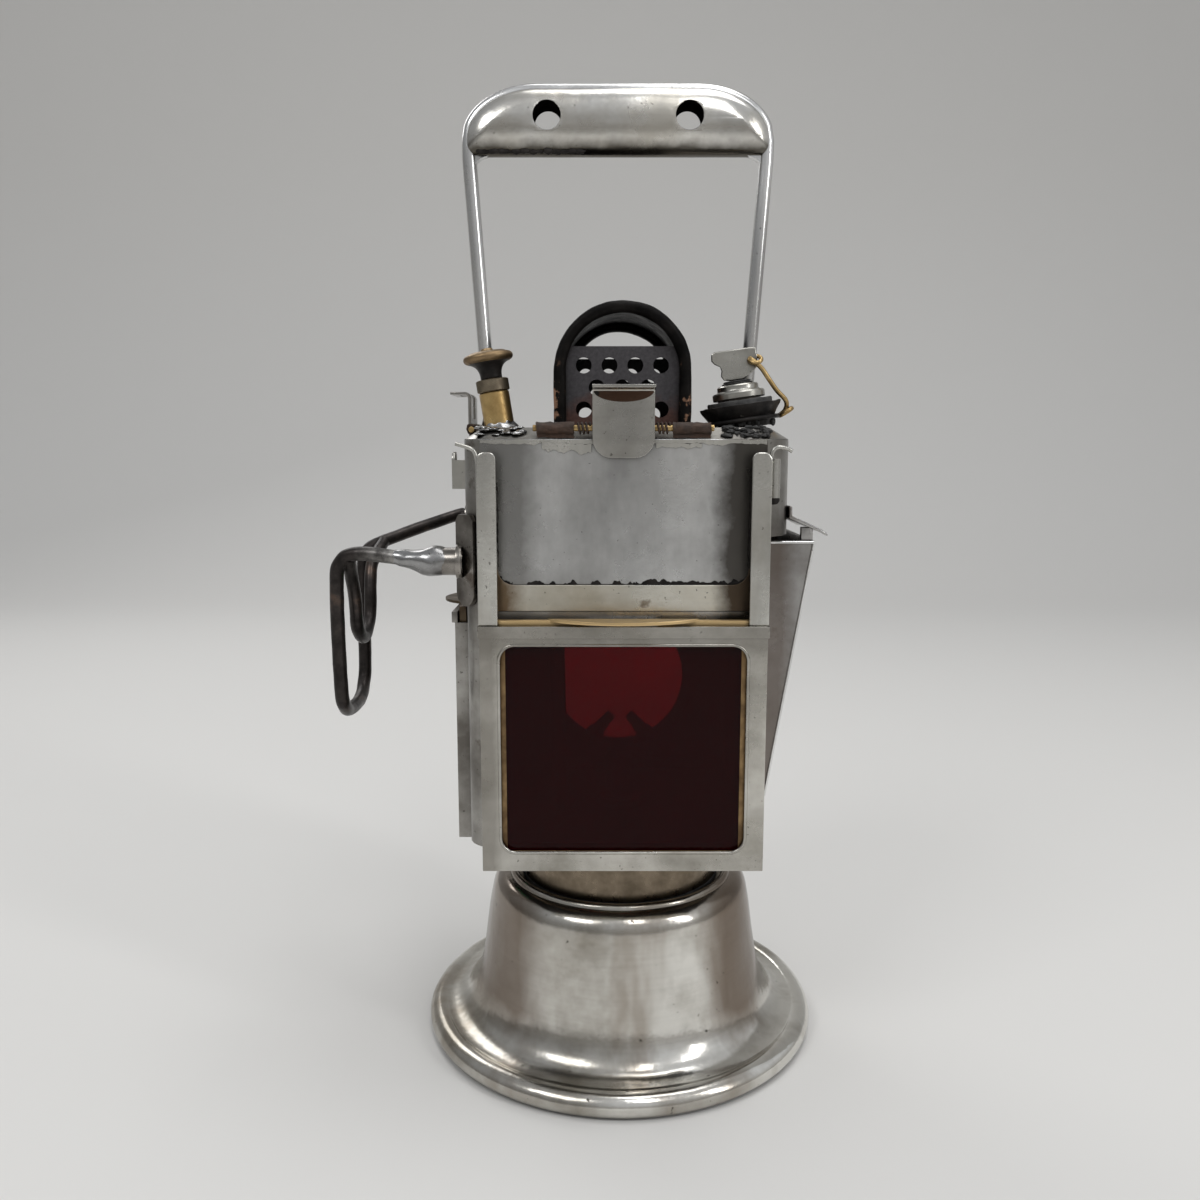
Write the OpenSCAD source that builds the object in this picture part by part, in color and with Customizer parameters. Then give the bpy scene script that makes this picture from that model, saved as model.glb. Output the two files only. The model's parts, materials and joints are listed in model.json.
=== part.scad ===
// Carbide signal lamp: bell base with carbide, lantern casing with water tank above it,
// red and green filter slides with sprung catches, rear door with lens.
// Millimetres, Z up, origin at the centre of the foot, the red window faces -Y.

/* [Base] */
// Outer radius of the rolled foot rim
rim_r = 70; // [64:0.5:76]
// Radius of the rolled bead of the foot
bead_r = 4; // [3:0.1:5]
// Radius of the bell wall at its shoulder
shoulder_r = 46.7; // [45:0.1:49]
// Height of the seat on top of the bell
bell_h = 54; // [48:0.5:60]
// Sheet thickness of the bell
bell_wall = 1.2; // [0.8:0.1:1.6]
// Outer radius of the brass neck
neck_r = 32.6; // [30:0.1:33]
// Height of the brass neck above its seat
neck_h = 19; // [17:0.5:21]
// Wall of the neck and its collar
neck_wall = 1.6; // [1.2:0.1:1.8]
// Free height between bell seat and casing
neck_show = 25; // [23:0.5:28]
// Radius of the carbide tin
tin_r = 29; // [24:0.5:29.5]
// Height of the carbide tin
tin_h = 45; // [36:0.5:46]

/* [Casing and tank] */
// Distance of the left wall from the axis
left_x = 50; // [48:0.5:53]
// Distance of the casing's right wall from the axis
right_x = 44.5; // [44:0.1:46]
// Distance of the tank's right wall from the axis
tank_x = 53.5; // [51:0.5:56]
// Distance of the front and back walls from the axis
depth_y = 43; // [41:0.5:46]
// Height of the casing
casing_h = 101; // [95:0.5:108]
// Height of the tank walls
tank_h = 30.4; // [27:0.2:33]
// Rise of the hipped tank top
hip_rise = 3.6; // [2.5:0.1:5]
// Inset of the hipped tank top
hip_in = 6; // [4:0.5:7]
// Sheet thickness of casing and tank
sheet = 1; // [0.8:0.1:1.3]
// Radius of the left corners
corner_r = 9; // [6:0.5:9]
// Radius of the tank's right corners
tank_corner_r = 17; // [12:0.5:18]

/* [Front window] */
// Half the width of the front window case
front_half = 44.3; // [43:0.1:45]
// Half the width of the front window
front_win = 38.5; // [36:0.1:39]
// Height of both windows
win_h = 66.7; // [62:0.1:68]
// Height of both window cases
case_h = 75; // [74.5:0.1:78]
// Depth of the red slide's back in front of the wall
front_back = 5.6; // [5.4:0.1:6.5]
// Height of the ledge on the case
ledge_h = 3.7; // [3:0.1:4.2]
// Width of the front rails
rail_w = 6; // [5:0.1:6.5]
// Height of the front rails' tops above the tank bottom
rail_top = 26.4; // [24:0.2:28]
// Radius of the rails' stop wires
stop_r = 0.6; // [0.5:0.05:0.9]
// Reach of the stop wires beyond the rails
stop_reach = 5; // [4:0.2:6]
// Height of the lintel strip
lintel_h = 8.4; // [7:0.1:10]

/* [Side window] */
// Half the width of the side window case
side_half = 23; // [22:0.1:24]
// Half the width of the side window
side_win = 17; // [15.5:0.1:17.4]
// Depth of the green slide's back in front of the wall
side_back = 2; // [1.9:0.1:2.6]
// Height of the side guide clips
clip_h = 12; // [9:0.5:16]

/* [Slides] */
// Thickness of a slide frame
slide_t = 2.4; // [2.2:0.1:2.8]
// Width of a slide's side bars
bar_w = 6.2; // [5:0.1:7]
// Height of a slide's top bar
top_bar = 8; // [7.2:0.1:9]
// Thickness of the coloured glass
glass_t = 1.4; // [1.2:0.1:1.5]
// Forward reach of the thumb lip
lip_reach = 7.5; // [5:0.1:10]
// Half the chord of the front thumb lip
front_chord = 22.5; // [18:0.5:25]
// Half the chord of the side thumb lip
side_chord = 13; // [10:0.5:15]
// Travel of a slide up to its catch
lift = 72; // [72:0.1:72.4]
// Thickness of the clear panes
pane_t = 2; // [1.5:0.1:2.5]

/* [Catches] */
// Half the width of a catch
catch_half = 9.5; // [8:0.1:9.8]
// Thickness of a catch's strip
catch_t = 0.9; // [0.7:0.1:1]
// Length of the front catch below its pin
catch_tail = 9.1; // [7:0.1:9.3]
// Radius of the catch pins
pin_r = 1; // [0.8:0.05:1.2]
// Radius of the hinge barrels
barrel_r = 2.2; // [2:0.05:2.3]
// Half the length of the front pin
front_pin = 27; // [24:0.5:30]
// Half the length of the side pin
side_pin = 19; // [18.5:0.5:22]
// Wire radius of the torsion springs
wire_r = 0.35; // [0.3:0.01:0.4]
// Rise of one spring curl
curl = 1.2; // [1.15:0.01:1.3]

/* [Chimney] */
// Half the outer width of the hood
hood_r = 22; // [20:0.2:24]
// Height of the hood's straight sides
hood_side = 18; // [15:0.5:21]
// Half the length of the hood
hood_half = 27; // [25:0.5:30]
// Radius of the hood's rolled rims
roll_r = 2.3; // [1.8:0.1:2.6]
// Sheet thickness of the hood
hood_wall = 1.2; // [0.8:0.1:1.5]
// Height of the perforated plates
vent_h = 26; // [23:0.5:28]
// Diameter of the vent holes
vent_d = 5.1; // [4:0.1:5.5]
// Spacing of the vent holes
vent_pitch = 8.3; // [7.5:0.1:8.6]

/* [Handle] */
// Offset of the handle to the left
handle_x = 1.2; // [0:0.1:1.2]
// Half the outer width of the grip
grip_half = 52.4; // [51:0.2:55]
// Bottom of the grip above the foot
grip_z = 304; // [295:0.5:310]
// Height of the grip's section
grip_h = 23.6; // [20:0.2:25]
// Depth of the grip's section
grip_d = 13; // [11:0.2:15]
// Wall of the hollow grip
grip_wall = 1.4; // [1:0.1:1.8]
// Height of the grip's oval upper corners
grip_corner = 18; // [13:0.5:19]
// Length of the grip's oval upper corners
grip_oval = 26; // [18:0.5:30]
// Diameter of the two holes through the grip
grip_hole = 9.3; // [7:0.1:10]
// Distance of the grip holes from the axis
grip_hole_x = 23.5; // [18:0.5:28]
// Radius of the handle rods
rod_r = 2.4; // [2.2:0.1:2.6]
// Distance of the rods from the axis at the tank
rod_foot_x = 43.6; // [42:0.1:43.8]
// Distance of the rods from the axis at the grip
rod_top_x = 49.8; // [48:0.1:49.9]

/* [Water valve] */
// Lean of the valve to the left
valve_lean = 9; // [4:0.5:12]
// Distance of the valve from the axis
valve_x = 40; // [38:0.2:41]
// Forward place of valve and filler
fit_y = 20; // [18:0.5:22]
// Radius of the valve body
valve_r = 4.9; // [4.2:0.1:5.4]
// Height of the valve body
valve_h = 12; // [9:0.5:14]
// Radius of the valve knob
knob_r = 8.15; // [7:0.05:9]
// Radius of the valve needle
needle_r = 2; // [1.6:0.1:2.3]

/* [Filler] */
// Lean of the filler to the left
filler_lean = 8; // [4:0.5:10]
// Distance of the filler from the axis
filler_x = 39.6; // [38:0.1:40]
// Upper radius of the filler neck
filler_r = 13.4; // [12:0.1:13.8]
// Lower radius of the filler neck
filler_low_r = 9.2; // [8.6:0.1:9.6]
// Height of the filler neck
filler_h = 7.8; // [7:0.1:9]
// Radius of the cap's plug
plug_r = 7; // [6:0.1:7.5]
// Radius of the cap's flange
cap_r = 8.5; // [8:0.1:9.4]
// Width of the wing plate
wing_w = 15; // [12:0.2:17]
// Height of the wing plate
wing_h = 10; // [9:0.2:12]

/* [Belt hook] */
// Wire radius of the belt hook
hook_r = 2.5; // [2:0.1:2.7]
// Distance of the hook's outer legs from the axis
hook_x = 93; // [85:0.5:98]
// Bottom of the hook's wire line
hook_z = 118.5; // [112:0.5:126]
// Bottom of the inner tongue's wire line
tongue_z = 143; // [136:0.5:150]
// Height of the front boss
boss_z = 172; // [168:0.5:174]
// Height of the rear boss
rear_boss_z = 182; // [178:0.5:184]

/* [Air duct] */
// Distance of the duct's top edge from the axis
duct_x = 62.4; // [59:0.2:65]
// Distance of the duct's foot from the axis
duct_foot_x = 47.5; // [46:0.1:50]
// Front of the duct
duct_front = 30; // [26:0.5:32]
// Back of the duct
duct_rear = 34; // [28:0.5:36]
// Height of the duct
duct_h = 88; // [80:0.5:92]
// Outer edge of the roof from the axis
roof_x = 66; // [64:0.2:69]
// Fall of the roof from the tank outwards
roof_fall = 5; // [3:0.2:6]
// Height of the roof's root above the tank's floor
roof_rise = 6.2; // [6:0.1:7]

/* [Rear door] */
// Half the width of the rear door
door_half = 34; // [32:0.2:35]
// Half the width of the rear opening
door_open = 30; // [29.5:0.1:31]
// Height of the rear door
door_h = 70; // [68:0.5:72]
// Radius of the lens
lens_r = 28; // [25:0.2:28.4]
// Height of the lens dome
dome_h = 8; // [5:0.2:10]
// Width of the lens ring
ring_w = 4; // [3:0.1:4.4]
// Distance of the hinge from the door's ends
hinge_end = 4; // [3:0.1:5]

/* [Burner] */
// Radius of the burner stem
stem_r = 4.5; // [3.5:0.1:5]
// Half the spread of the burner arms
burner_half = 9; // [7:0.2:11]
// Height of the burner arms above the floor
burner_h = 21; // [17:0.5:26]
// Radius of the drip pipe
drip_r = 2.5; // [2:0.1:2.8]

/* [Fits] */
// Play of sliding pieces
play = 0.3; // [0.25:0.05:0.4]
// Radial play of turning fits
fit = 0.05; // [0.03:0.01:0.08]

/* [Hidden] */
$fn = 64;

floor_z = bell_h + neck_show;
tank_z = floor_z + casing_h;
wall_z = tank_z + tank_h;
top_z = wall_z + hip_rise;
case_z = floor_z - 4;
win_z = floor_z + 2;
slide_z = case_z + 1 + play;
slide_h = case_h + ledge_h + 0.2;
slide_top = slide_z + slide_h;
slot_z = slide_top - 3.9;
slot_h = 3.4;
lip_z = slot_z + slot_h + lift - play;
pin_z = top_z - 0.3;
plate_t = 0.8;
tin_floor = 1.5;

function arc(cx, cy, r, a, b, n = 6) =
  [for (i = [0:n]) [cx + r * cos(a + (b - a) * i / n), cy + r * sin(a + (b - a) * i / n)]];
function bez(p, t) = pow(1 - t, 3) * p[0] + 3 * t * pow(1 - t, 2) * p[1]
  + 3 * t * t * (1 - t) * p[2] + pow(t, 3) * p[3];
function curve(p, n) = [for (i = [0:n]) bez(p, i / n)];
function plan(x0, x1, y, r0, r1) = concat(arc(x0 + r0, -y + r0, r0, 180, 270),
  arc(x1 - r1, -y + r1, r1, 270, 360), arc(x1 - r1, y - r1, r1, 0, 90),
  arc(x0 + r0, y - r0, r0, 90, 180));
function unit(v) = v / norm(v);
function spread(p, n) = [for (i = [0:len(p) - 2]) for (k = [0:n - 1])
  let (t = k / n, a = p[max(i - 1, 0)], b = p[i], c = p[i + 1], d = p[min(i + 2, len(p) - 1)])
  0.5 * (2 * b + (c - a) * t + (2 * a - 5 * b + 4 * c - d) * t * t
    + (3 * b - 3 * c + d - a) * t * t * t), p[len(p) - 1]];
function heads(p) = [for (i = [0:len(p) - 1])
  unit(p[min(i + 1, len(p) - 1)] - p[max(i - 1, 0)])];
function carry(t, i, n) = i == len(t) ? [] :
  let (m = unit(n - (n * t[i]) * t[i])) concat([m], carry(t, i + 1, m));

module tube(p, r, sides, first) {
  t = heads(p);
  n = carry(t, 0, first);
  m = len(p);
  pts = [for (i = [0:m - 1]) for (k = [0:sides - 1])
    p[i] + r * (cos(360 * k / sides) * n[i] + sin(360 * k / sides) * cross(t[i], n[i]))];
  skin = [for (i = [0:m - 2]) for (k = [0:sides - 1]) for (h = [0:1])
    let (a = i * sides + k, b = i * sides + (k + 1) % sides)
    h == 0 ? [a, a + sides, b] : [b, a + sides, b + sides]];
  ends = concat([for (k = [1:sides - 2]) [0, k, k + 1]],
    [for (k = [1:sides - 2]) [(m - 1) * sides, (m - 1) * sides + k + 1, (m - 1) * sides + k]]);
  polyhedron(pts, concat(skin, ends), convexity = 12);
}

module box(x, y, z) {
  translate([x[0], y[0], z[0]]) cube([x[1] - x[0], y[1] - y[0], z[1] - z[0]]);
}

module slab(wall, x, d, z) {
  box(x, [-wall - d[1], -wall - d[0]], z);
}

module panel(wall, d) {
  translate([0, -wall - d[0], 0]) rotate([90, 0, 0]) linear_extrude(d[1] - d[0]) children();
}

module to_side() {
  rotate([0, 0, -90]) children();
}

module ring(r0, r1, z0, z1) {
  translate([0, 0, z0]) difference() {
    cylinder(r = r1, h = z1 - z0, $fn = 96);
    translate([0, 0, -1]) cylinder(r = r0, h = z1 - z0 + 2, $fn = 96);
  }
}

module along_x(x, y, z, r) {
  translate([x[0], y, z]) rotate([0, 90, 0]) cylinder(r = r, h = x[1] - x[0]);
}

module along_y(x, y, z, r) {
  translate([x, y[0], z]) rotate([-90, 0, 0]) cylinder(r = r, h = y[1] - y[0]);
}

// Bell with rolled rim, one section turned round the axis
bead_c = rim_r - bead_r;
crease = [bead_c + bead_r * cos(128), bead_r + bead_r * sin(128)];
bell_line = [crease, [shoulder_r + 3.8, crease[1]], [shoulder_r + 4.5, 22], [shoulder_r, bell_h - 5]];
shoulder_line = [[shoulder_r, bell_h - 5], [shoulder_r - 0.6, bell_h], [shoulder_r - 3, bell_h + 2],
  [shoulder_r - 6, bell_h + 2.3]];
function inward(p, w) = [for (i = [0:len(p) - 1])
  let (t = unit(p[min(i + 1, len(p) - 1)] - p[max(i - 1, 0)])) p[i] + w * [-t[1], t[0]]];
lip_r = shoulder_r - 7.6;

module carbide_bell() {
  outer = concat(curve(bell_line, 14), curve(shoulder_line, 6));
  hollow = inward(outer, bell_wall);
  section = concat(arc(bead_c, bead_r, bead_r, 168, 488, 20), [for (i = [1:len(outer) - 1]) outer[i]],
    arc(lip_r, bell_h + 2.4, 1.5, 20, 160, 5), [[lip_r - 1.5, bell_h], [neck_r - neck_wall, bell_h],
    [neck_r - neck_wall, bell_h - bell_wall], [lip_r, bell_h - bell_wall]],
    [for (i = [len(hollow) - 1:-1:1]) hollow[i]]);
  color("silver") rotate_extrude($fn = 128) polygon(section);
}

module base_bottom() {
  color("silver") cylinder(r = bead_c - bead_r - 0.2, h = tin_floor, $fn = 96);
}

module lugs(r0, r1, z0, z1, width) {
  for (a = [30, 150, 270]) rotate([0, 0, a - width / 2]) rotate_extrude(angle = width, $fn = 96)
    polygon([[r0, z0], [r1, z0], [r1, z1], [r0, z1]]);
}

collar_r = neck_r + 1.4;
catch_z = bell_h + 9;

module base_neck() {
  color("goldenrod") union() {
    ring(neck_r - neck_wall, neck_r, bell_h, bell_h + neck_h);
    ring(neck_r - neck_wall, lip_r - 2, bell_h, bell_h + 1);
    lugs(neck_r - 0.4, collar_r - play, catch_z + 4 + play, catch_z + 7, 40);
  }
}

module base_gasket() {
  color("black") ring(neck_r + 0.1, collar_r + neck_wall, bell_h + 1, bell_h + 2.7);
}

module carbide_tin() {
  color("gray") difference() {
    translate([0, 0, tin_floor]) cylinder(r = tin_r, h = tin_h);
    translate([0, 0, tin_floor + 1]) cylinder(r = tin_r - 1, h = tin_h);
  }
}

module tin_lid() {
  color("gray") difference() {
    translate([0, 0, tin_floor + tin_h]) cylinder(r = tin_r + 0.6, h = 1.2);
    translate([0, 0, tin_h]) cylinder(r = 6, h = 5);
    for (a = [0:45:315]) rotate([0, 0, a]) translate([tin_r * 0.6, 0, tin_h]) cylinder(r = 2, h = 5);
  }
}

module neck_collar() {
  color("goldenrod") union() {
    ring(collar_r, collar_r + neck_wall, bell_h + 3, floor_z);
    ring(collar_r, collar_r + 5, floor_z - 1, floor_z);
    lugs(neck_r + 0.4, collar_r + 0.4, catch_z, catch_z + 4, 66);
  }
}

drip_x = 22;
drip_y = 12;

module casing_floor() {
  color("silver") difference() {
    translate([0, 0, floor_z]) linear_extrude(sheet)
      polygon(plan(-left_x + sheet + 0.05, right_x - sheet - 0.05, depth_y - sheet - 0.05,
        corner_r - sheet, 2));
    translate([0, 0, floor_z - 1]) cylinder(r = stem_r + 0.1, h = 4);
    translate([-drip_x, -drip_y, floor_z - 1]) cylinder(r = drip_r + 0.2, h = 4);
  }
}

module casing() {
  color("silver") difference() {
    translate([0, 0, floor_z]) linear_extrude(casing_h) difference() {
      polygon(plan(-left_x, right_x, depth_y, corner_r, 3));
      polygon(plan(-left_x + sheet, right_x - sheet, depth_y - sheet, corner_r - sheet, 2));
    }
    slab(depth_y, [-front_win, front_win], [-5, 5], [win_z, win_z + win_h]);
    to_side() slab(left_x, [-side_win, side_win], [-5, 5], [win_z, win_z + win_h]);
    box([-door_open, door_open], [depth_y - 5, depth_y + 5], [win_z + 3, win_z + door_h - 4]);
    for (k = [-1:1]) translate([right_x, k * 14, tank_z - 40]) rotate([0, 90, 0])
      cylinder(r = 4.5, h = 12, center = true);
  }
}

module burner() {
  arm_z = floor_z + burner_h;
  color("goldenrod") union() {
    translate([0, 0, floor_z - 5]) cylinder(r = stem_r, h = burner_h + 5);
    translate([0, 0, floor_z + sheet]) cylinder(r = stem_r + 3.5, h = 3);
    along_x([-burner_half, burner_half], 0, arm_z, 2.4);
    for (s = [-1, 1]) translate([s * burner_half, 0, arm_z]) cylinder(r = 2.5, h = 6);
    for (s = [-1, 1]) translate([s * burner_half, 0, arm_z + 6]) sphere(r = 3.2);
  }
}

module burner_tips() {
  color("ivory") for (s = [-1, 1]) difference() {
    translate([s * burner_half, 0, floor_z + burner_h + 6]) rotate([0, -s * 40, 0])
      cylinder(r1 = 2.4, r2 = 1.8, h = 9);
    translate([s * burner_half, 0, floor_z + burner_h + 6]) sphere(r = 3.25);
  }
}

module drip_pipe() {
  x1 = valve_x - (top_z - tank_z) * tan(valve_lean);
  path = spread([[-x1, -fit_y, tank_z - 0.3], [-x1, -fit_y, tank_z - 10],
    [-(x1 + drip_x) / 2, -(fit_y + drip_y) / 2, tank_z - 24], [-drip_x, -drip_y, tank_z - 38],
    [-drip_x, -drip_y, floor_z - 19]], 5);
  color("goldenrod") tube(path, drip_r, 12, [1, 0, 0]);
}

flue_x = 17;
flue_y = 20;

module water_tank() {
  color("silver") difference() {
    translate([0, 0, tank_z]) linear_extrude(tank_h)
      polygon(plan(-left_x, tank_x, depth_y, corner_r, tank_corner_r));
    translate([0, 0, tank_z + sheet]) linear_extrude(tank_h)
      polygon(plan(-left_x + sheet, tank_x - sheet, depth_y - sheet, corner_r - sheet,
        tank_corner_r - sheet));
    box([-flue_x - 0.1, flue_x + 0.1], [-flue_y - 0.1, flue_y + 0.1], [tank_z - 1, tank_z + 5]);
  }
}

module hip(low, drop) {
  hull() {
    translate([0, 0, wall_z - drop]) linear_extrude(0.01)
      polygon(plan(-left_x + low, tank_x - low, depth_y - low, corner_r - low, tank_corner_r - low));
    translate([0, 0, top_z - drop - 0.01]) linear_extrude(0.01)
      polygon(plan(-left_x + hip_in, tank_x - hip_in, depth_y - hip_in, 3, tank_corner_r - hip_in));
  }
}

module tank_top() {
  color("silver") difference() {
    hip(0, 0);
    hip(1.2, 1);
    box([-flue_x - 0.1, flue_x + 0.1], [-flue_y - 0.1, flue_y + 0.1], [wall_z - 1, top_z + 5]);
    valve_frame() translate([0, 0, -20]) cylinder(r = needle_r + 0.6, h = 30);
    filler_frame() translate([0, 0, -10]) cylinder(r = plug_r + 1, h = 20);
  }
}

module flue_liner() {
  color("dimgray") difference() {
    box([-flue_x, flue_x], [-flue_y, flue_y], [tank_z, top_z + 2]);
    box([-flue_x + 1, flue_x - 1], [-flue_y + 1, flue_y - 1], [tank_z - 1, top_z + 3]);
  }
}

// Front and side slide ways; depth is counted outwards from the wall
module frame_plate(half, z0, z1, win, wz0, wz1, r) {
  difference() {
    polygon([[-half, z0], [half, z0], [half, z1], [-half, z1]]);
    polygon(concat(arc(-win + r, wz0 + r, r, 180, 270), arc(win - r, wz0 + r, r, 270, 360),
      arc(win - r, wz1 - r, r, 0, 90), arc(-win + r, wz1 - r, r, 90, 180)));
  }
}

module window_case(wall, half, win, back) {
  face = back + slide_t + play;
  z1 = case_z + case_h;
  color("silver") union() {
    panel(wall, [face, face + 1]) frame_plate(half, case_z, z1, win, win_z, win_z + win_h, 5);
    slab(wall, [-half, half], [0, face], [case_z, case_z + 1]);
    for (s = [-1, 1]) scale([s, 1, 1]) {
      slab(wall, [half - 1, half], [0, face], [case_z, z1]);
      slab(wall, [win + 1, half - 1], [0, back - play], [case_z + 1, z1]);
    }
    slab(wall, [-half - 0.4, half + 0.4], [face, face + 2], [z1, z1 + ledge_h]);
  }
}

module face_plate(wall, half, z0) {
  color("silver") slab(wall, [-half, half], [0, plate_t], [z0, wall_z]);
}

module channel(wall, half, w, back, z0, z1) {
  face = back + slide_t + play;
  for (s = [-1, 1]) scale([s, 1, 1]) {
    panel(wall, [face, face + 1]) polygon(concat([[half - w, z0], [half, z0]],
      arc(half - 2.6, z1 - 2.6, 2.6, 0, 90), arc(half - w + 2, z1 - 2, 2, 90, 180)));
    slab(wall, [half - 1, half], [plate_t, face + 0.5], [z0, z1 - 2.6]);
    slab(wall, [half - w + 1, half - 1], [max(plate_t, back - play - 0.8), back - play], [z0, z1 - 2.6]);
  }
}

module front_plate() {
  face_plate(depth_y, front_half, case_z + case_h + ledge_h);
}

module lintel_strip() {
  z0 = case_z + case_h + ledge_h + 3.3;
  x1 = front_half - 1.2;
  color("silver") panel(depth_y, [plate_t, 2 * plate_t])
    polygon(concat([[-x1, z0], [x1, z0], [x1, z0 + lintel_h + 5]],
      arc(x1 - 9, z0 + lintel_h + 5, 5, 360, 270, 5), arc(-x1 + 9, z0 + lintel_h + 5, 5, 270, 180, 5),
      [[-x1, z0 + lintel_h + 5]]));
}

module front_case() {
  window_case(depth_y, front_half, front_win, front_back);
}

module front_rails() {
  z1 = tank_z + rail_top;
  color("silver") union() {
    channel(depth_y, front_half + 0.2, rail_w, front_back, case_z + case_h + ledge_h, z1);
    for (s = [-1, 1]) along_x([s < 0 ? -front_half - stop_reach : front_half - 0.3,
      s < 0 ? -front_half + 0.3 : front_half + stop_reach], -depth_y - front_back, z1 - 5, stop_r);
  }
}

module front_pane() {
  color([0.8, 0.9, 0.9, 0.4]) slab(depth_y - sheet, [-front_win - 2, front_win + 2], [-pane_t, 0],
    [floor_z + sheet + 0.1, win_z + win_h + 2]);
}

module side_plate() {
  to_side() face_plate(left_x, side_half - 0.4, case_z + case_h + ledge_h);
}

module side_case() {
  to_side() window_case(left_x, side_half, side_win, side_back);
}

module side_clips() {
  z1 = tank_z + rail_top;
  color("silver") to_side() channel(left_x, side_half, rail_w, side_back, z1 - clip_h, z1);
}

module side_pane() {
  color([0.8, 0.9, 0.9, 0.4]) to_side() slab(left_x - sheet, [-side_win - 2, side_win + 2], [-pane_t, 0],
    [floor_z + sheet + 0.1, win_z + win_h + 2]);
}

module slide_frame(wall, half, back, chord) {
  x1 = half - 1 - 2 * play;
  x0 = x1 - bar_w;
  front = back + slide_t;
  round_r = (chord * chord + lip_reach * lip_reach) / (2 * lip_reach);
  z0 = slide_z + 5;
  z1 = slide_top - top_bar;
  color("goldenrod") union() {
    difference() {
      slab(wall, [-x1, x1], [back, front], [slide_z, slide_top]);
      slab(wall, [-x0, x0], [back - 1, front + 1], [z0, z1]);
      slab(wall, [-x0 - 1.6, x0 + 1.6], [back + 0.4, front - 0.4], [z0 - 1.6, z1 + 1.6]);
      slab(wall, [-catch_half - 1, catch_half + 1], [back - 1, front + 1], [slot_z, slot_z + slot_h]);
    }
    translate([0, 0, slide_top - 0.5]) linear_extrude(1) difference() {
      translate([0, -wall - front - lip_reach + round_r]) circle(r = round_r, $fn = 128);
      translate([-2 * round_r, -wall - front + 0.6]) square(4 * round_r);
    }
  }
}

module slide_glass(wall, half, back) {
  x = half - 1 - 2 * play - bar_w + 1.4;
  mid = back + slide_t / 2;
  slab(wall, [-x, x], [mid - glass_t / 2, mid + glass_t / 2],
    [slide_z + 3.6, slide_top - top_bar + 1.4]);
}

module red_frame() {
  slide_frame(depth_y, front_half, front_back, front_chord);
}

module red_glass() {
  color("darkred") slide_glass(depth_y, front_half, front_back);
}

module green_frame() {
  to_side() slide_frame(left_x, side_half, side_back, side_chord);
}

module green_glass() {
  color("darkgreen") to_side() slide_glass(left_x, side_half, side_back);
}

// Catches: a strip rolled round a pin, its lip reaching through the raised slide's slot;
// the side catch is open in the middle, where it is pressed past the handle rod
front_pin_d = 0.4;
side_pin_d = side_back - play - barrel_r;
tail_r = 6;
coil_steps = 27;
coil_len = curl * coil_steps / 8;

module catch(wall, pin_d, tail, reach, pass) {
  d1 = pin_d + barrel_r;
  d0 = d1 - catch_t;
  color("silver") difference() {
    union() {
      along_x([-catch_half, catch_half], -wall - pin_d, pin_z, barrel_r);
      slab(wall, [-catch_half, catch_half], [d0, d1], [pin_z, lip_z - 2]);
      rotate([90, 0, 90]) linear_extrude(2 * catch_half, center = true)
        polygon(concat(arc(-wall - d0 - 2, lip_z - 2, 2, 0, 90, 5),
          [[-wall - d1 - reach, lip_z], [-wall - d1 - reach, lip_z - catch_t]],
          arc(-wall - d0 - 2, lip_z - 2, 2 - catch_t, 90, 0, 5)));
      if (tail > 0) panel(wall, [d0, d1]) polygon(concat([[catch_half, pin_z], [-catch_half, pin_z],
        [-catch_half, pin_z - tail + tail_r]],
        arc(-catch_half + tail_r, pin_z - tail + tail_r, tail_r, 180, 270, 6),
        arc(catch_half - tail_r, pin_z - tail + tail_r, tail_r, 270, 360, 6)));
    }
    along_x([-20, 20], -wall - pin_d, pin_z, pin_r + fit);
    if (pass > 0) slab(wall, [-pass, pass], [d0 - 1, d1 + 3.9], [pin_z + 4, lip_z + 1]);
  }
}

module catch_hinge(wall, pin_d, x1) {
  x0 = catch_half + coil_len + 2 * wire_r + 0.6;
  color("saddlebrown") for (s = [-1, 1]) scale([s, 1, 1]) difference() {
    union() {
      along_x([x0, x1], -wall - pin_d, pin_z, barrel_r);
      slab(wall, [x0, x1], [0, plate_t], [wall_z, pin_z]);
    }
    along_x([x0 - 1, x1 + 1], -wall - pin_d, pin_z, pin_r + fit);
  }
}

function coil(x0, y, z, r) = [for (i = [0:coil_steps])
  [x0 + curl * i / 8, y + r * cos(45 * i), z + r * sin(45 * i)]];
coil_r = pin_r + wire_r + 0.25;
probe = coil(0, 0, 0, coil_r);
coil_gap = min([for (i = [0:len(probe) - 1]) for (k = [i + 5:1:len(probe) - 1])
  norm(probe[i] - probe[k])]) - 2 * wire_r;
echo(str("least gap between spring curls: ", coil_gap, " mm"));

module catch_springs(wall, pin_d) {
  color("dimgray") for (x0 = [catch_half + 0.3 + wire_r, -catch_half - 0.3 - wire_r - coil_len])
    tube(coil(x0, -wall - pin_d, pin_z, coil_r), wire_r, 6, [0, 1, 0]);
}

module front_catch() {
  catch(depth_y, front_pin_d, catch_tail, 6.2, 0);
}

module front_catch_hinge() {
  catch_hinge(depth_y, front_pin_d, front_pin);
}

module front_catch_pin() {
  color("goldenrod") along_x([-front_pin - 0.8, front_pin + 0.8], -depth_y - front_pin_d, pin_z, pin_r);
}

module front_catch_springs() {
  catch_springs(depth_y, front_pin_d);
}

module side_catch() {
  to_side() catch(left_x, side_pin_d, 0, 6, rod_r + 1.5);
}

module side_catch_hinge() {
  to_side() catch_hinge(left_x, side_pin_d, side_pin);
}

module side_catch_pin() {
  color("goldenrod") to_side()
    along_x([-side_pin - 0.8, side_pin + 0.8], -left_x - side_pin_d, pin_z, pin_r);
}

module side_catch_springs() {
  to_side() catch_springs(left_x, side_pin_d);
}

// Chimney
spring_z = top_z + hood_side;

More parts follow.
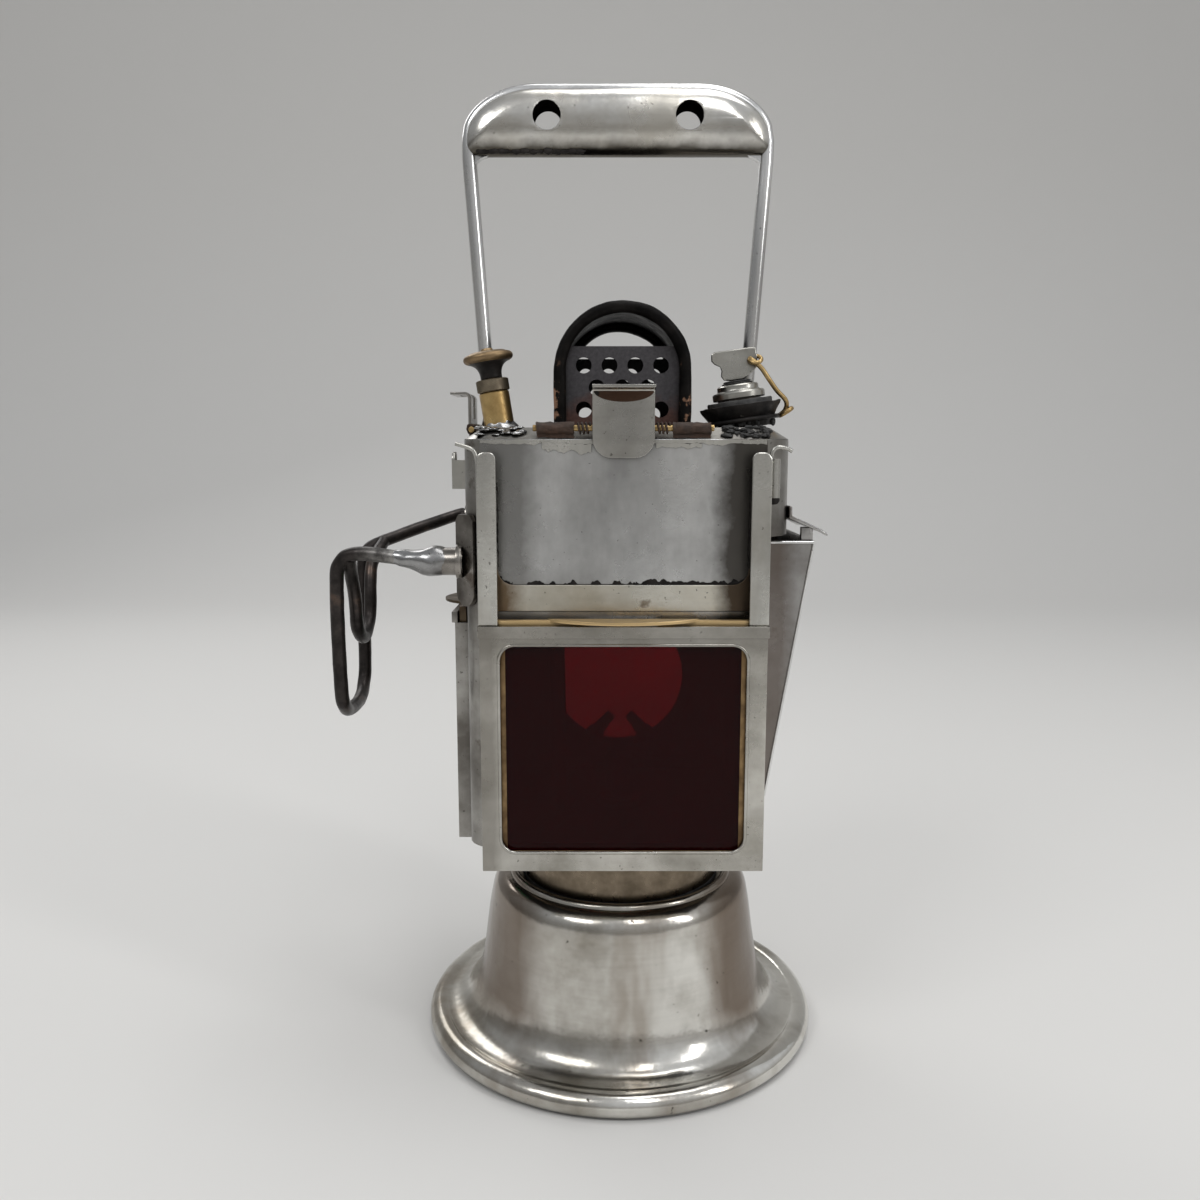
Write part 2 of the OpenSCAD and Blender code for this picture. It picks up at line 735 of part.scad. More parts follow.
module arch(r, z0) {
  union() {
    translate([-r, z0]) square([2 * r, spring_z - z0]);
    translate([0, spring_z]) circle(r = r, $fn = 96);
  }
}

module chimney_hood() {
  mid = hood_r - roll_r + 0.3;
  color([0.15, 0.13, 0.12]) union() {
    translate([0, hood_half, 0]) rotate([90, 0, 0]) linear_extrude(2 * hood_half) difference() {
      arch(hood_r, top_z);
      arch(hood_r - hood_wall, top_z - 30);
    }
    for (y = [-hood_half, hood_half]) {
      translate([0, y, spring_z]) rotate([90, 0, 0]) rotate_extrude(angle = 180, $fn = 96)
        translate([mid, 0]) circle(r = roll_r, $fn = 48);
      for (s = [-1, 1]) translate([s * mid, y, top_z]) cylinder(r = roll_r, h = hood_side, $fn = 48);
    }
  }
}

module vent_plate(y) {
  color("dimgray") difference() {
    translate([0, y + 1, 0]) rotate([90, 0, 0]) linear_extrude(1) intersection() {
      arch(hood_r - hood_wall - 0.1, top_z);
      translate([-hood_r, top_z]) square([2 * hood_r, vent_h]);
    }
    for (row = [0:2]) for (k = [0:3 - row % 2])
      along_y((k - (3 - row % 2) / 2) * vent_pitch, [y - 1, y + 2], top_z + vent_h - 6 - 7 * row, vent_d / 2);
  }
}

module front_vent_plate() {
  vent_plate(-hood_half + roll_r + 0.3);
}

module rear_vent_plate() {
  vent_plate(hood_half - roll_r - 1.3);
}

// Handle
rod_end = grip_z + 7;
foot_h = 4;

module rod(s, r, z0, z1) {
  a = [s * rod_foot_x - handle_x, 0, top_z];
  lean = atan((rod_top_x - rod_foot_x) / (grip_z - top_z));
  translate(a) rotate([0, s * lean, 0]) translate([0, 0, z0 - top_z]) cylinder(r = r, h = z1 - z0);
}

module handle_rods() {
  color("silver") difference() {
    union() {
      rod(-1, rod_r, top_z - 5, rod_end);
      rod(1, rod_r, top_z - 5, rod_end);
    }
    box([-60, 60], [-10, 10], [top_z - 20, top_z]);
  }
}

module handle_feet() {
  color("silver") for (s = [-1, 1]) difference() {
    translate([s * rod_foot_x - handle_x, 0, top_z]) cylinder(r1 = rod_r + 1.4, r2 = rod_r + 0.5, h = foot_h);
    rod(s, rod_r + fit, top_z - foot_h, top_z + 2 * foot_h);
    to_side() along_x([-catch_half - 5, catch_half + 5], -left_x - side_pin_d, pin_z, barrel_r + play);
  }
}

module grip_face(in) {
  x = grip_half - in;
  z0 = grip_z + in;
  z1 = grip_z + grip_h - in;
  r = grip_corner - in;
  long = grip_oval - in;
  round_off = [for (i = [0:12]) [x - long + long * cos(7.5 * i), z1 - r + r * sin(7.5 * i)]];
  polygon(concat([[-x + 3, z0], [x - 3, z0], [x, z0 + 3]], round_off,
    [for (i = [12:-1:0]) [-round_off[i][0], round_off[i][1]]], [[-x, z0 + 3]]));
}

module grip_solid(in) {
  r = grip_d / 2 - in;
  translate([-handle_x, 0, 0]) intersection() {
    translate([0, grip_d, 0]) rotate([90, 0, 0]) linear_extrude(2 * grip_d) grip_face(in);
    translate([0, 0, grip_z - 1]) linear_extrude(grip_h + 2)
      polygon(plan(-grip_half + in, grip_half - in, r, r - 1.2, r - 1.2));
    union() {
      along_x([-60, 60], 0, grip_z + in + r, r);
      along_x([-60, 60], 0, grip_z + grip_h - in - r, r);
      box([-60, 60], [-r, r], [grip_z + in + r, grip_z + grip_h - in - r]);
    }
  }
}

module handle_grip() {
  color("silver") difference() {
    grip_solid(0);
    grip_solid(grip_wall);
    for (s = [-1, 1])
      along_y(s * grip_hole_x - handle_x, [-grip_d, grip_d], grip_z + grip_h / 2, grip_hole / 2);
    for (s = [-1, 1]) rod(s, rod_r + fit, grip_z - 10, rod_end + 0.5);
  }
}

// Belt hook
boss_y = depth_y - 6;
strap_w = 4.3;
strap_h = 29;
strap_t = 1.6;
strap_drop = 14;
strap_shift = 1.7;
boss_len = 9;

module bracket(s, z) {
  face = left_x - corner_r + corner_r * sqrt(0.5);
  flat = depth_y - corner_r + corner_r * sqrt(0.5);
  difference() {
    union() {
      translate([-face, s * flat, z - strap_drop]) rotate([0, 0, s > 0 ? -45 : 45])
        translate([-strap_t - 0.2, -s * strap_shift, 0])
        rotate([90, 0, 90]) linear_extrude(strap_t) polygon(concat(arc(0, strap_w, strap_w, 180, 360, 10),
          [[strap_w, strap_h - 2], [strap_w - 1.5, strap_h], [1.5 - strap_w, strap_h],
          [-strap_w, strap_h - 2]]));
      along_x([-left_x - boss_len, -left_x - 0.6], s * boss_y, z, hook_r + 1.9);
      along_x([-left_x - 2.6, -left_x - 0.8], s * boss_y, z, hook_r + 3.1);
    }
    along_x([-left_x - 20, -left_x - 1.5], s * boss_y, z, hook_r + 4 * fit);
  }
}

module hook_brackets() {
  color("gray") union() {
    bracket(-1, boss_z);
    bracket(1, rear_boss_z);
  }
}

module belt_hook() {
  x = hook_x;
  outer = spread([[-left_x - 1.8, -boss_y, boss_z], [-left_x - 9.5, -boss_y, boss_z],
    [-left_x - 13, -boss_y, boss_z],
    [-x + 9, -boss_y + 3, boss_z + 2.2], [-x + 2, -boss_y + 5, boss_z - 1], [-x, -boss_y + 7, boss_z - 10],
    [-x, -29, hook_z + 12], [-x, -25, hook_z + 3.5], [-x - 0.5, -15, hook_z],
    [-x - 0.5, -1, hook_z], [-x - 1, 8, hook_z + 3.5], [-x - 1, 11.5, hook_z + 12],
    [-x - 1, 13, boss_z - 10], [-x + 0.5, 14.5, boss_z - 1.5], [-x + 8, 20, boss_z + 2.5],
    [-left_x - 13, boss_y, rear_boss_z], [-left_x - 9.5, boss_y, rear_boss_z],
    [-left_x - 1.8, boss_y, rear_boss_z]], 5);
  tongue = spread([[-x + 5, -boss_y + 4, boss_z + 1], [-x + 4, -26, boss_z - 6],
    [-x + 4, -22, boss_z - 14], [-x + 4, -20, tongue_z + 5], [-x + 4, -11, tongue_z],
    [-x + 4, -1, tongue_z + 5], [-x + 4, 1.5, boss_z - 14], [-x + 4, 6, boss_z - 5],
    [-x + 6, 17, boss_z + 1.5]], 5);
  color("black") union() {
    tube(outer, hook_r, 10, [0, 0, 1]);
    tube(tongue, hook_r * 0.96, 10, [0, 1, 0.3]);
  }
}

// Air duct on the right side, open above, sheltered by a roof plate
duct_top = tank_z - 2;

module duct_plan(in) {
  polygon([[right_x - 5 * in, duct_top - duct_h + in], [duct_foot_x - in, duct_top - duct_h + in],
    [duct_x - 1.02 * in, duct_top + in], [right_x - 5 * in, duct_top + in]]);
}

module air_duct() {
  color("gray") difference() {
    translate([0, duct_rear, 0]) rotate([90, 0, 0]) linear_extrude(duct_rear + duct_front) duct_plan(0);
    translate([0, duct_rear - 1, 0]) rotate([90, 0, 0]) linear_extrude(duct_rear + duct_front - 2)
      duct_plan(1);
  }
}

module air_duct_roof() {
  flat = depth_y - tank_corner_r;
  roof_z = tank_z + roof_rise;
  color("gray") union() {
    translate([0, flat + 6, 0]) rotate([90, 0, 0]) linear_extrude(2 * flat + 12)
      polygon([[tank_x, roof_z - 1], [roof_x, roof_z - roof_fall - 1], [roof_x, roof_z - roof_fall],
        [tank_x + 1, roof_z], [tank_x + 1, roof_z + 3], [tank_x, roof_z + 3]]);
    for (y = [-duct_front + 0.5, duct_rear - 2.5]) box([duct_x - 4.5, duct_x - 0.6], [y, y + 2],
      [duct_top, roof_z - roof_fall * (duct_x - 0.6 - tank_x) / (roof_x - tank_x) - 0.5]);
  }
}

// Water valve and filler lean to the left
module valve_frame() {
  translate([-valve_x, -fit_y, top_z]) rotate([0, -valve_lean, 0]) children();
}

module filler_frame() {
  translate([filler_x, -fit_y, top_z]) rotate([0, -filler_lean, 0]) children();
}

module valve_body() {
  color("goldenrod") difference() {
    union() {
      valve_frame() translate([0, 0, -3]) cylinder(r = valve_r, h = valve_h + 3);
      translate([-valve_x, -fit_y, top_z]) cylinder(r = valve_r + 1.2, h = 1.6);
    }
    box([-valve_x - 20, -valve_x + 20], [-fit_y - 20, -fit_y + 20], [top_z - 20, top_z]);
    valve_frame() translate([0, 0, -10]) cylinder(r = needle_r + fit, h = valve_h + 20);
  }
}

module valve_gland() {
  n = 28;
  r = valve_r + 0.5;
  color("goldenrod") valve_frame() difference() {
    translate([0, 0, valve_h]) linear_extrude(4)
      polygon([for (i = [0:2 * n - 1]) (r - 0.35 * (i % 2)) * [cos(180 * i / n), sin(180 * i / n)]]);
    translate([0, 0, valve_h - 1]) cylinder(r = needle_r + fit, h = 6);
  }
}

cone_z = valve_h + 4 + play;

module valve_cone() {
  color("black") valve_frame() difference() {
    rotate_extrude($fn = 96) polygon([[0, cone_z], [valve_r - 1.4, cone_z], [valve_r - 1.2, cone_z + 1.6],
      [valve_r - 0.6, cone_z + 3], [valve_r + 0.4, cone_z + 4.2], [valve_r + 1.8, cone_z + 5.2],
      [0, cone_z + 5.2]]);
    translate([0, 0, cone_z - 1]) cylinder(r = needle_r + 0.01, h = 8);
  }
}

module valve_knob() {
  z = cone_z + 5.2;
  color("goldenrod") valve_frame() rotate_extrude($fn = 96)
    polygon(concat([[0, z], [knob_r - 0.8, z], [knob_r, z + 0.8], [knob_r, z + 3.2]],
      arc(knob_r - 1, z + 3.2, 1, 0, 90, 4),
      [[knob_r - 2.2, z + 4.2], [knob_r - 2.6, z + 3.7], [0, z + 4.6]]));
}

module valve_needle() {
  low = (top_z - tank_z - 2) / cos(valve_lean);
  color("goldenrod") valve_frame() union() {
    translate([0, 0, -low + 4]) cylinder(r = needle_r, h = cone_z + 5.2 + low - 4);
    translate([0, 0, -low]) cylinder(r1 = 0.4, r2 = needle_r, h = 4);
  }
}

module filler_neck() {
  bore = plug_r + fit;
  color([0.12, 0.11, 0.1]) difference() {
    filler_frame() rotate_extrude($fn = 96) polygon([[bore, -4], [filler_low_r, -4], [filler_low_r, 1],
      [filler_r - 0.8, filler_h - 2], [filler_r, filler_h - 1], [filler_r, filler_h], [bore, filler_h]]);
    box([filler_x - 20, filler_x + 20], [-fit_y - 20, -fit_y + 20], [top_z - 20, top_z]);
  }
}

module filler_gasket() {
  color("black") filler_frame() ring(plug_r + 0.1, cap_r + 2.2, filler_h, filler_h + 1.5);
}

cap_z = filler_h + 1.5 + play;

module filler_cap() {
  color("silver") filler_frame() rotate_extrude($fn = 96) polygon([[0, 2], [plug_r, 2], [plug_r, cap_z],
    [cap_r, cap_z], [cap_r, cap_z + 2], [cap_r - 0.4, cap_z + 2.4], [cap_r - 1.8, cap_z + 2.4],
    [cap_r - 1.8, cap_z + 4.6], [2, cap_z + 4.6], [2, cap_z + 6], [0, cap_z + 6]]);
}

module cap_washer() {
  color("black") filler_frame() ring(2.02, 5, cap_z + 4.6, cap_z + 5.9);
}

wing_z = cap_z + 6;
wing_line = [[-0.3, 0], [0.3, 0], [0.72, 0.19], [0.97, 0.38], [1, 0.7], [0.97, 0.96], [0.75, 1], [-0.83, 1],
  [-0.97, 0.92], [-1, 0.72], [-0.88, 0.59], [-0.65, 0.5], [-0.61, 0.36], [-0.66, 0.2], [-0.55, 0.06]];

module cap_wing() {
  w = wing_w / 2;
  color("silver") filler_frame() translate([0, 0.6, 0]) rotate([90, 0, 0]) linear_extrude(1.2) difference() {
    translate([0, wing_z]) polygon([for (p = wing_line) [p[0] * w, p[1] * wing_h]]);
    translate([w - 2.8, wing_z + wing_h * 0.58]) circle(r = 1.5, $fn = 32);
  }
}

module cap_link() {
  x1 = wing_w / 2 - 2.8;
  ring_r = filler_low_r + (filler_r - filler_low_r) * 0.36 + 1.1;
  path = spread([[x1, 1.9, wing_z + wing_h * 0.58 + 1.3], [x1, 0, wing_z + wing_h * 0.58 + 0.4],
    [x1, -1.9, wing_z + wing_h * 0.58], [x1 + 2.6, -2.4, wing_z + 3], [filler_r + 0.9, -1.4, cap_z],
    [filler_r + 1.5, -0.6, filler_h - 1.5], [filler_r + 0.8, 0, 5.4], [ring_r + 0.2, 0, 2.6]], 4);
  color("goldenrod") filler_frame() union() {
    tube(path, 0.6, 8, [1, 0, 0]);
    translate([0, 0, 2.6]) rotate_extrude($fn = 96) translate([ring_r, 0]) circle(r = 0.7, $fn = 24);
  }
}

// Rear door with bull's-eye lens, hinged on the right
door_z = win_z + 1;
hinge_x = door_half + 3.5;
hinge_y = depth_y + 2.6;
lens_z = door_z + door_h / 2;
knuckle_h = 12;
knuckle_r = 1.9;
door_pin_r = 0.9;

module door_hinge() {
  z0 = door_z + hinge_end + knuckle_h;
  z1 = door_z + door_h - hinge_end - knuckle_h;
  color("silver") union() {
    difference() {
      union() {
        translate([hinge_x, hinge_y, z0]) cylinder(r = knuckle_r, h = z1 - z0);
        box([hinge_x, right_x - 3], [depth_y, depth_y + 1], [z0, z1]);
        box([hinge_x, hinge_x + 1], [depth_y, hinge_y], [z0, z1]);
      }
      translate([hinge_x, hinge_y, z0 - 1]) cylinder(r = door_pin_r, h = z1 - z0 + 2);
    }
    translate([hinge_x, hinge_y, door_z + hinge_end]) cylinder(r = door_pin_r, h = door_h - 2 * hinge_end);
  }
}

module rear_door() {
  y0 = depth_y + play;
  color("silver") difference() {
    union() {
      box([-door_half, door_half], [y0, y0 + 1.2], [door_z, door_z + door_h]);
      for (z = [door_z + hinge_end, door_z + door_h - hinge_end - knuckle_h + play]) {
        translate([hinge_x, hinge_y, z]) cylinder(r = knuckle_r, h = knuckle_h - play);
        box([door_half - 1, hinge_x], [y0 + 0.3, y0 + 1.2], [z, z + knuckle_h - play]);
      }
      along_y(0, [y0 + 0.6, y0 + 5.2], lens_z, lens_r + ring_w);
      along_y(-door_half + 5, [y0 + 1, y0 + 6], door_z + door_h - 6, 1.6);
      along_y(-door_half + 5, [y0 + 6, y0 + 8.5], door_z + door_h - 6, 3.4);
    }
    along_y(0, [y0 - 5, y0 + 9], lens_z, lens_r - 2);
    along_y(0, [y0 + 1.2, y0 + 4.2], lens_z, lens_r + fit);
    translate([hinge_x, hinge_y, door_z]) cylinder(r = door_pin_r + fit, h = door_h);
  }
}

module rear_lens() {
  y0 = depth_y + play + 1.2;
  r1 = lens_r - 2.4;
  dome_r = (r1 * r1 + dome_h * dome_h) / (2 * dome_h);
  half = asin(r1 / dome_r);
  color([0.85, 0.92, 0.92, 0.5]) translate([0, y0 + 0.1, lens_z]) rotate([-90, 0, 0]) rotate_extrude($fn = 96)
    polygon(concat([[0, 0], [lens_r, 0], [lens_r, 2.8], [r1, 2.8]],
      [for (i = [0:10]) [dome_r * sin(half * (1 - i / 10)),
        2.8 + dome_h - dome_r + dome_r * cos(half * (1 - i / 10))]]));
}

carbide_bell();
base_bottom();
base_neck();
base_gasket();
carbide_tin();
tin_lid();
neck_collar();
casing_floor();
casing();
burner();
burner_tips();
drip_pipe();
water_tank();
tank_top();
flue_liner();
front_plate();
lintel_strip();
front_case();
front_rails();
front_pane();
side_plate();
side_case();
side_clips();
side_pane();
chimney_hood();
front_vent_plate();
rear_vent_plate();
handle_rods();
handle_feet();
handle_grip();
hook_brackets();
belt_hook();
air_duct();
air_duct_roof();
valve_body();
valve_gland();
filler_neck();
filler_gasket();
front_catch_hinge();
front_catch_pin();
front_catch_springs();
side_catch_hinge();
side_catch_pin();
side_catch_springs();
door_hinge();
red_frame();
red_glass();
green_frame();
green_glass();
front_catch();
side_catch();
valve_knob();
valve_cone();
valve_needle();
filler_cap();
cap_washer();
cap_wing();
cap_link();
rear_door();
rear_lens();
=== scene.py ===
import json
from math import atan2, cos, hypot, pi, radians, sin, sqrt, tau
import bpy
import bmesh
from mathutils import Matrix, Vector, noise


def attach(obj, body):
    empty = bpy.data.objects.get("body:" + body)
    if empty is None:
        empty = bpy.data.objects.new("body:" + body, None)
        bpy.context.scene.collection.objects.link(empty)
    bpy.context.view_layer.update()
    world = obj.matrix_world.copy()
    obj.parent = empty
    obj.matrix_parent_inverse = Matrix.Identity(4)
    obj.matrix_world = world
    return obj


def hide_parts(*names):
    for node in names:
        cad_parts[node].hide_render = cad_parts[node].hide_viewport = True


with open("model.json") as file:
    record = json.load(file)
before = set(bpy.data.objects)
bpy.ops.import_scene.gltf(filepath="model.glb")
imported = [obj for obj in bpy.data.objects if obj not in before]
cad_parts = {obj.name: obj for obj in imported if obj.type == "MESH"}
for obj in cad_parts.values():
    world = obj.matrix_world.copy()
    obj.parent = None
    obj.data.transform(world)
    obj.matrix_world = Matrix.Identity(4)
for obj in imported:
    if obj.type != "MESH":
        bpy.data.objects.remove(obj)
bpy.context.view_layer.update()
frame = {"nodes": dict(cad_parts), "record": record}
mm = 0.001  # lengths below are in millimetres
linkObject = bpy.context.scene.collection.objects.link
bodyOf = {n: body for body, names in frame["record"]["behaviour"]["bodies"].items() for n in names}
print("frame loaded:", len(frame["nodes"]), "nodes")


# shader helpers

def fill(node, **sockets):
    for socket, value in sockets.items():
        node.inputs[socket.replace("_", " ")].default_value = value


def addNode(tree, kind, **sockets):
    node = tree.nodes.new("ShaderNode" + kind)
    fill(node, **sockets)
    return node


def feed(tree, socket, value):  # value is a socket, a colour or a number
    if isinstance(value, bpy.types.NodeSocket):
        tree.links.new(value, socket)
    else:
        socket.default_value = (*value, 1) if isinstance(value, tuple) else value


def startFinish(name, metallic, roughness, **sockets):
    finish = bpy.data.materials.new(name)
    finish.use_nodes = True
    shader = finish.node_tree.nodes["Principled BSDF"]
    fill(shader, Metallic=metallic, Roughness=roughness, **sockets)
    place = addNode(finish.node_tree, "TexCoord").outputs["Object"]
    return finish, finish.node_tree, shader, place


def stretched(tree, place, scale, turn=(0, 0, 0)):
    mapping = addNode(tree, "Mapping", Scale=scale, Rotation=[radians(a) for a in turn])
    tree.links.new(place, mapping.inputs["Vector"])
    return mapping.outputs["Vector"]


def grain(tree, place, scale, detail, coarse):
    texture = addNode(tree, "TexNoise", Scale=scale, Detail=detail, Roughness=coarse)
    tree.links.new(place, texture.inputs["Vector"])
    return texture.outputs["Fac"]


def ramp(tree, factor, *stops):
    node = addNode(tree, "ValToRGB")
    marks = node.color_ramp.elements
    while len(marks) < len(stops):
        marks.new(0.5)
    for mark, (position, colour) in zip(marks, stops):
        mark.position = position
        mark.color = (*colour, 1) if isinstance(colour, tuple) else (colour, colour, colour, 1)
    tree.links.new(factor, node.inputs["Fac"])
    return node.outputs["Color"]


def blendColour(tree, factor, first, second, mode="MIX"):
    node = addNode(tree, "Mix")
    node.data_type = "RGBA"
    node.blend_type = mode
    for index, value in ((0, factor), (6, first), (7, second)):  # the sockets of a colour mix
        feed(tree, node.inputs[index], value)
    return node.outputs[2]


def relief(tree, shader, *layers):
    normal = None
    for height, strength, distance in layers:
        bump = addNode(tree, "Bump", Strength=strength, Distance=distance * mm)
        tree.links.new(height, bump.inputs["Height"])
        if normal:
            tree.links.new(normal, bump.inputs["Normal"])
        normal = bump.outputs["Normal"]
    tree.links.new(normal, shader.inputs["Normal"])


# painted shade: darkens corners, creases and recesses found by ambient occlusion
def paintCornerShade(tree, colour, dirtAndShade, reach, tight, most, wide):
    node = addNode(tree, "AmbientOcclusion", Distance=reach * mm)
    node.samples = 6
    return blendColour(tree, ramp(tree, node.outputs["AO"], (tight, most), (wide, 0.0)), colour, dirtAndShade)


def along(tree, place, axis, start, end):  # 0 at start, 1 at end
    parts = addNode(tree, "SeparateXYZ")
    tree.links.new(place, parts.inputs[0])
    reach = addNode(tree, "MapRange", From_Min=start * mm, From_Max=end * mm)
    tree.links.new(parts.outputs[axis], reach.inputs["Value"])
    return reach.outputs[0]


def combine(tree, operation, first, second, third=0.5):
    node = addNode(tree, "Math")
    node.operation = operation
    for socket, value in zip(node.inputs, (first, second, third)):
        feed(tree, socket, value)
    return node.outputs[0]


def setSurface(tree, shader, colour, factor=None, *roughness):
    tree.links.new(colour, shader.inputs["Base Color"])
    if factor:
        tree.links.new(ramp(tree, factor, *roughness), shader.inputs["Roughness"])


# finishes

def insideOf(tree, place):  # 1 on faces that look towards the lamp's axis
    flat = addNode(tree, "VectorMath")
    flat.operation = "MULTIPLY"
    flat.inputs[1].default_value = (1, 1, 0)
    tree.links.new(place, flat.inputs[0])
    facing = addNode(tree, "VectorMath")
    facing.operation = "DOT_PRODUCT"
    tree.links.new(flat.outputs["Vector"], facing.inputs[0])
    tree.links.new(addNode(tree, "NewGeometry").outputs["Normal"], facing.inputs[1])
    return combine(tree, "LESS_THAN", facing.outputs["Value"], -0.012)


def sheetFinish(name, bright, dark, stain, stainShare, smooth, brush, dirtAndShade=(0.035, 0.028, 0.022), reach=2.5,
                bumps=1.0, sootInside=False, marks=()):
    finish, tree, shader, place = startFinish(name, 1.0, smooth)
    clouds = grain(tree, place, 42, 5, 0.6)
    colour = ramp(tree, clouds, (0.34, dark), (0.64, bright))
    smears = grain(tree, stretched(tree, place, (1, 1, 0.4), (0, 35, 0)), 26, 3, 0.5)
    colour = blendColour(tree, 0.8, colour, ramp(tree, smears, (0.34, 0.6), (0.62, 1.0)), "MULTIPLY")
    strokes = grain(tree, stretched(tree, place, brush), 160, 3, 0.6)
    colour = blendColour(tree, 0.4, colour, ramp(tree, strokes, (0.3, 0.55), (0.7, 1.0)), "MULTIPLY")
    blots = grain(tree, place, 85, 8, 0.62)
    colour = blendColour(tree, ramp(tree, blots, (0.74 - stainShare, 0.0), (0.82 - stainShare, 0.7)), colour, stain)
    pits = grain(tree, place, 800, 2, 0.5)
    colour = blendColour(tree, ramp(tree, pits, (0.7, 0.0), (0.74, 0.6)), colour, dirtAndShade)
    # painted shade in corners and creases; the pits above are real dirt
    colour = paintCornerShade(tree, colour, dirtAndShade, reach, 0.3, 0.9, 0.78)
    if sootInside:
        colour = blendColour(tree, insideOf(tree, place), colour, (0.03, 0.026, 0.023))
    for axis, fadeStart, fadeEnd, tint, most in marks:  # a tint that grows from one place to another; on the front plate it is painted shade beside the rails
        spread = combine(tree, "ADD", along(tree, place, axis, fadeStart, fadeEnd), combine(tree, "MULTIPLY", blots, 0.7))
        colour = blendColour(tree, ramp(tree, spread, (0.55, 0.0), (1.05, most)), colour, tint)
    setSurface(tree, shader, colour, clouds, (0.3, smooth + 0.14), (0.7, smooth - 0.04))
    relief(tree, shader, (smears, 0.5 * bumps, 2.0), (clouds, 0.3 * bumps, 0.8), (strokes, 0.16 * bumps, 0.12),
           (pits, 0.1 * bumps, 0.1))
    return finish


def turnedNickel():  # spun bell, warm tarnish in soft upright bands; painted reflection darkens both flanks
    finish, tree, shader, place = startFinish("turnedNickel", 1.0, 0.2)
    clouds = grain(tree, place, 24, 5, 0.6)
    colour = ramp(tree, clouds, (0.34, (0.34, 0.315, 0.27)), (0.6, (0.76, 0.745, 0.7)))
    bands = grain(tree, stretched(tree, place, (1, 1, 0.22)), 34, 4, 0.6)
    colour = blendColour(tree, ramp(tree, bands, (0.48, 0.0), (0.64, 0.6)), colour, (0.27, 0.22, 0.17))
    uneven = combine(tree, "MULTIPLY_ADD", bands, 0.9, -0.45)
    for fadeStart, fadeEnd in ((-20, -36), (22, 40)):  # both flanks of the cone, painted reflection: darker brown standing in for darker surroundings
        flank = combine(tree, "MULTIPLY", along(tree, place, "X", fadeStart, fadeEnd), along(tree, place, "Z", 8, 20))
        flank = combine(tree, "ADD", flank, combine(tree, "MULTIPLY", uneven, flank))
        colour = blendColour(tree, ramp(tree, flank, (0.15, 0.0), (0.85, 0.85)), colour, (0.17, 0.13, 0.1))
    rings = grain(tree, stretched(tree, place, (0.03, 0.03, 1)), 900, 3, 0.6)
    colour = blendColour(tree, 0.25, colour, ramp(tree, rings, (0.3, 0.7), (0.7, 1.0)), "MULTIPLY")
    specks = grain(tree, place, 420, 3, 0.5)
    colour = blendColour(tree, ramp(tree, specks, (0.71, 0.0), (0.74, 0.8)), colour, (0.05, 0.04, 0.03))
    # painted shade in the bell's corners and creases
    colour = paintCornerShade(tree, colour, (0.05, 0.04, 0.03), 4, 0.25, 0.85, 0.7)
    setSurface(tree, shader, colour, clouds, (0.3, 0.27), (0.7, 0.13))
    relief(tree, shader, (clouds, 0.3, 1.6), (bands, 0.3, 1.0), (rings, 0.1, 0.08))
    return finish


def agedBrass(name, bright, dark, smooth, rubbed=None):
    finish, tree, shader, place = startFinish(name, 1.0, smooth)
    clouds = grain(tree, place, 170, 5, 0.6)
    colour = ramp(tree, clouds, (0.34, dark), (0.64, bright))
    if rubbed:  # bright above
        colour = blendColour(tree, along(tree, place, "Z", *rubbed), colour, (0.66, 0.48, 0.25))
    # painted shade in corners and creases
    colour = paintCornerShade(tree, colour, (0.05, 0.032, 0.016), 1.5, 0.3, 0.85, 0.8)
    setSurface(tree, shader, colour, clouds, (0.3, smooth + 0.2), (0.7, smooth))
    relief(tree, shader, (clouds, 0.2, 0.25), (grain(tree, place, 1400, 2, 0.5), 0.12, 0.06))
    return finish


def sootedMetal(name, bare, bareShare, smooth, wornFrom=None, grey=0.028):  # black, bare metal showing through
    finish, tree, shader, place = startFinish(name, 3 * grey, smooth, Specular_IOR_Level=5 * grey)
    patches = grain(tree, place, 120, 7, 0.65)
    colour = ramp(tree, patches, (0.35, (0.2 * grey, 0.18 * grey, 0.18 * grey)),
                  (0.62, (grey, 0.87 * grey, 0.8 * grey)))
    worn = grain(tree, place, 210, 6, 0.6)
    bareness = ramp(tree, worn, (0.74 - bareShare, 0.0), (0.8 - bareShare, 0.9))
    if wornFrom:  # worn only below
        bareness = combine(tree, "MULTIPLY", bareness, along(tree, place, "Z", *wornFrom))
    colour = blendColour(tree, bareness, colour, bare)
    setSurface(tree, shader, colour, patches, (0.3, smooth + 0.2), (0.65, smooth - 0.08))
    relief(tree, shader, (patches, 0.5, 0.5), (grain(tree, place, 1000, 3, 0.6), 0.3, 0.12))
    return finish


def rustedSheet(name, grey, rust, low, high):  # rust grows from the height low up to high
    finish, tree, shader, place = startFinish(name, 0.5, 0.62)
    patches = grain(tree, place, 110, 7, 0.62)
    spread = combine(tree, "SUBTRACT", combine(tree, "ADD", patches, 0.28), along(tree, place, "Z", low, high))
    colour = blendColour(tree, ramp(tree, spread, (0.18, 0.0), (0.5, 1.0)), grey, rust)
    speckle = grain(tree, place, 900, 3, 0.6)
    colour = blendColour(tree, 0.5, colour, ramp(tree, speckle, (0.35, 0.4), (0.65, 1.0)), "MULTIPLY")
    # painted shade in corners and creases
    colour = paintCornerShade(tree, colour, (0.015, 0.011, 0.009), 2, 0.3, 0.8, 0.8)
    setSurface(tree, shader, colour)
    relief(tree, shader, (patches, 0.4, 0.4), (speckle, 0.35, 0.12))
    return finish


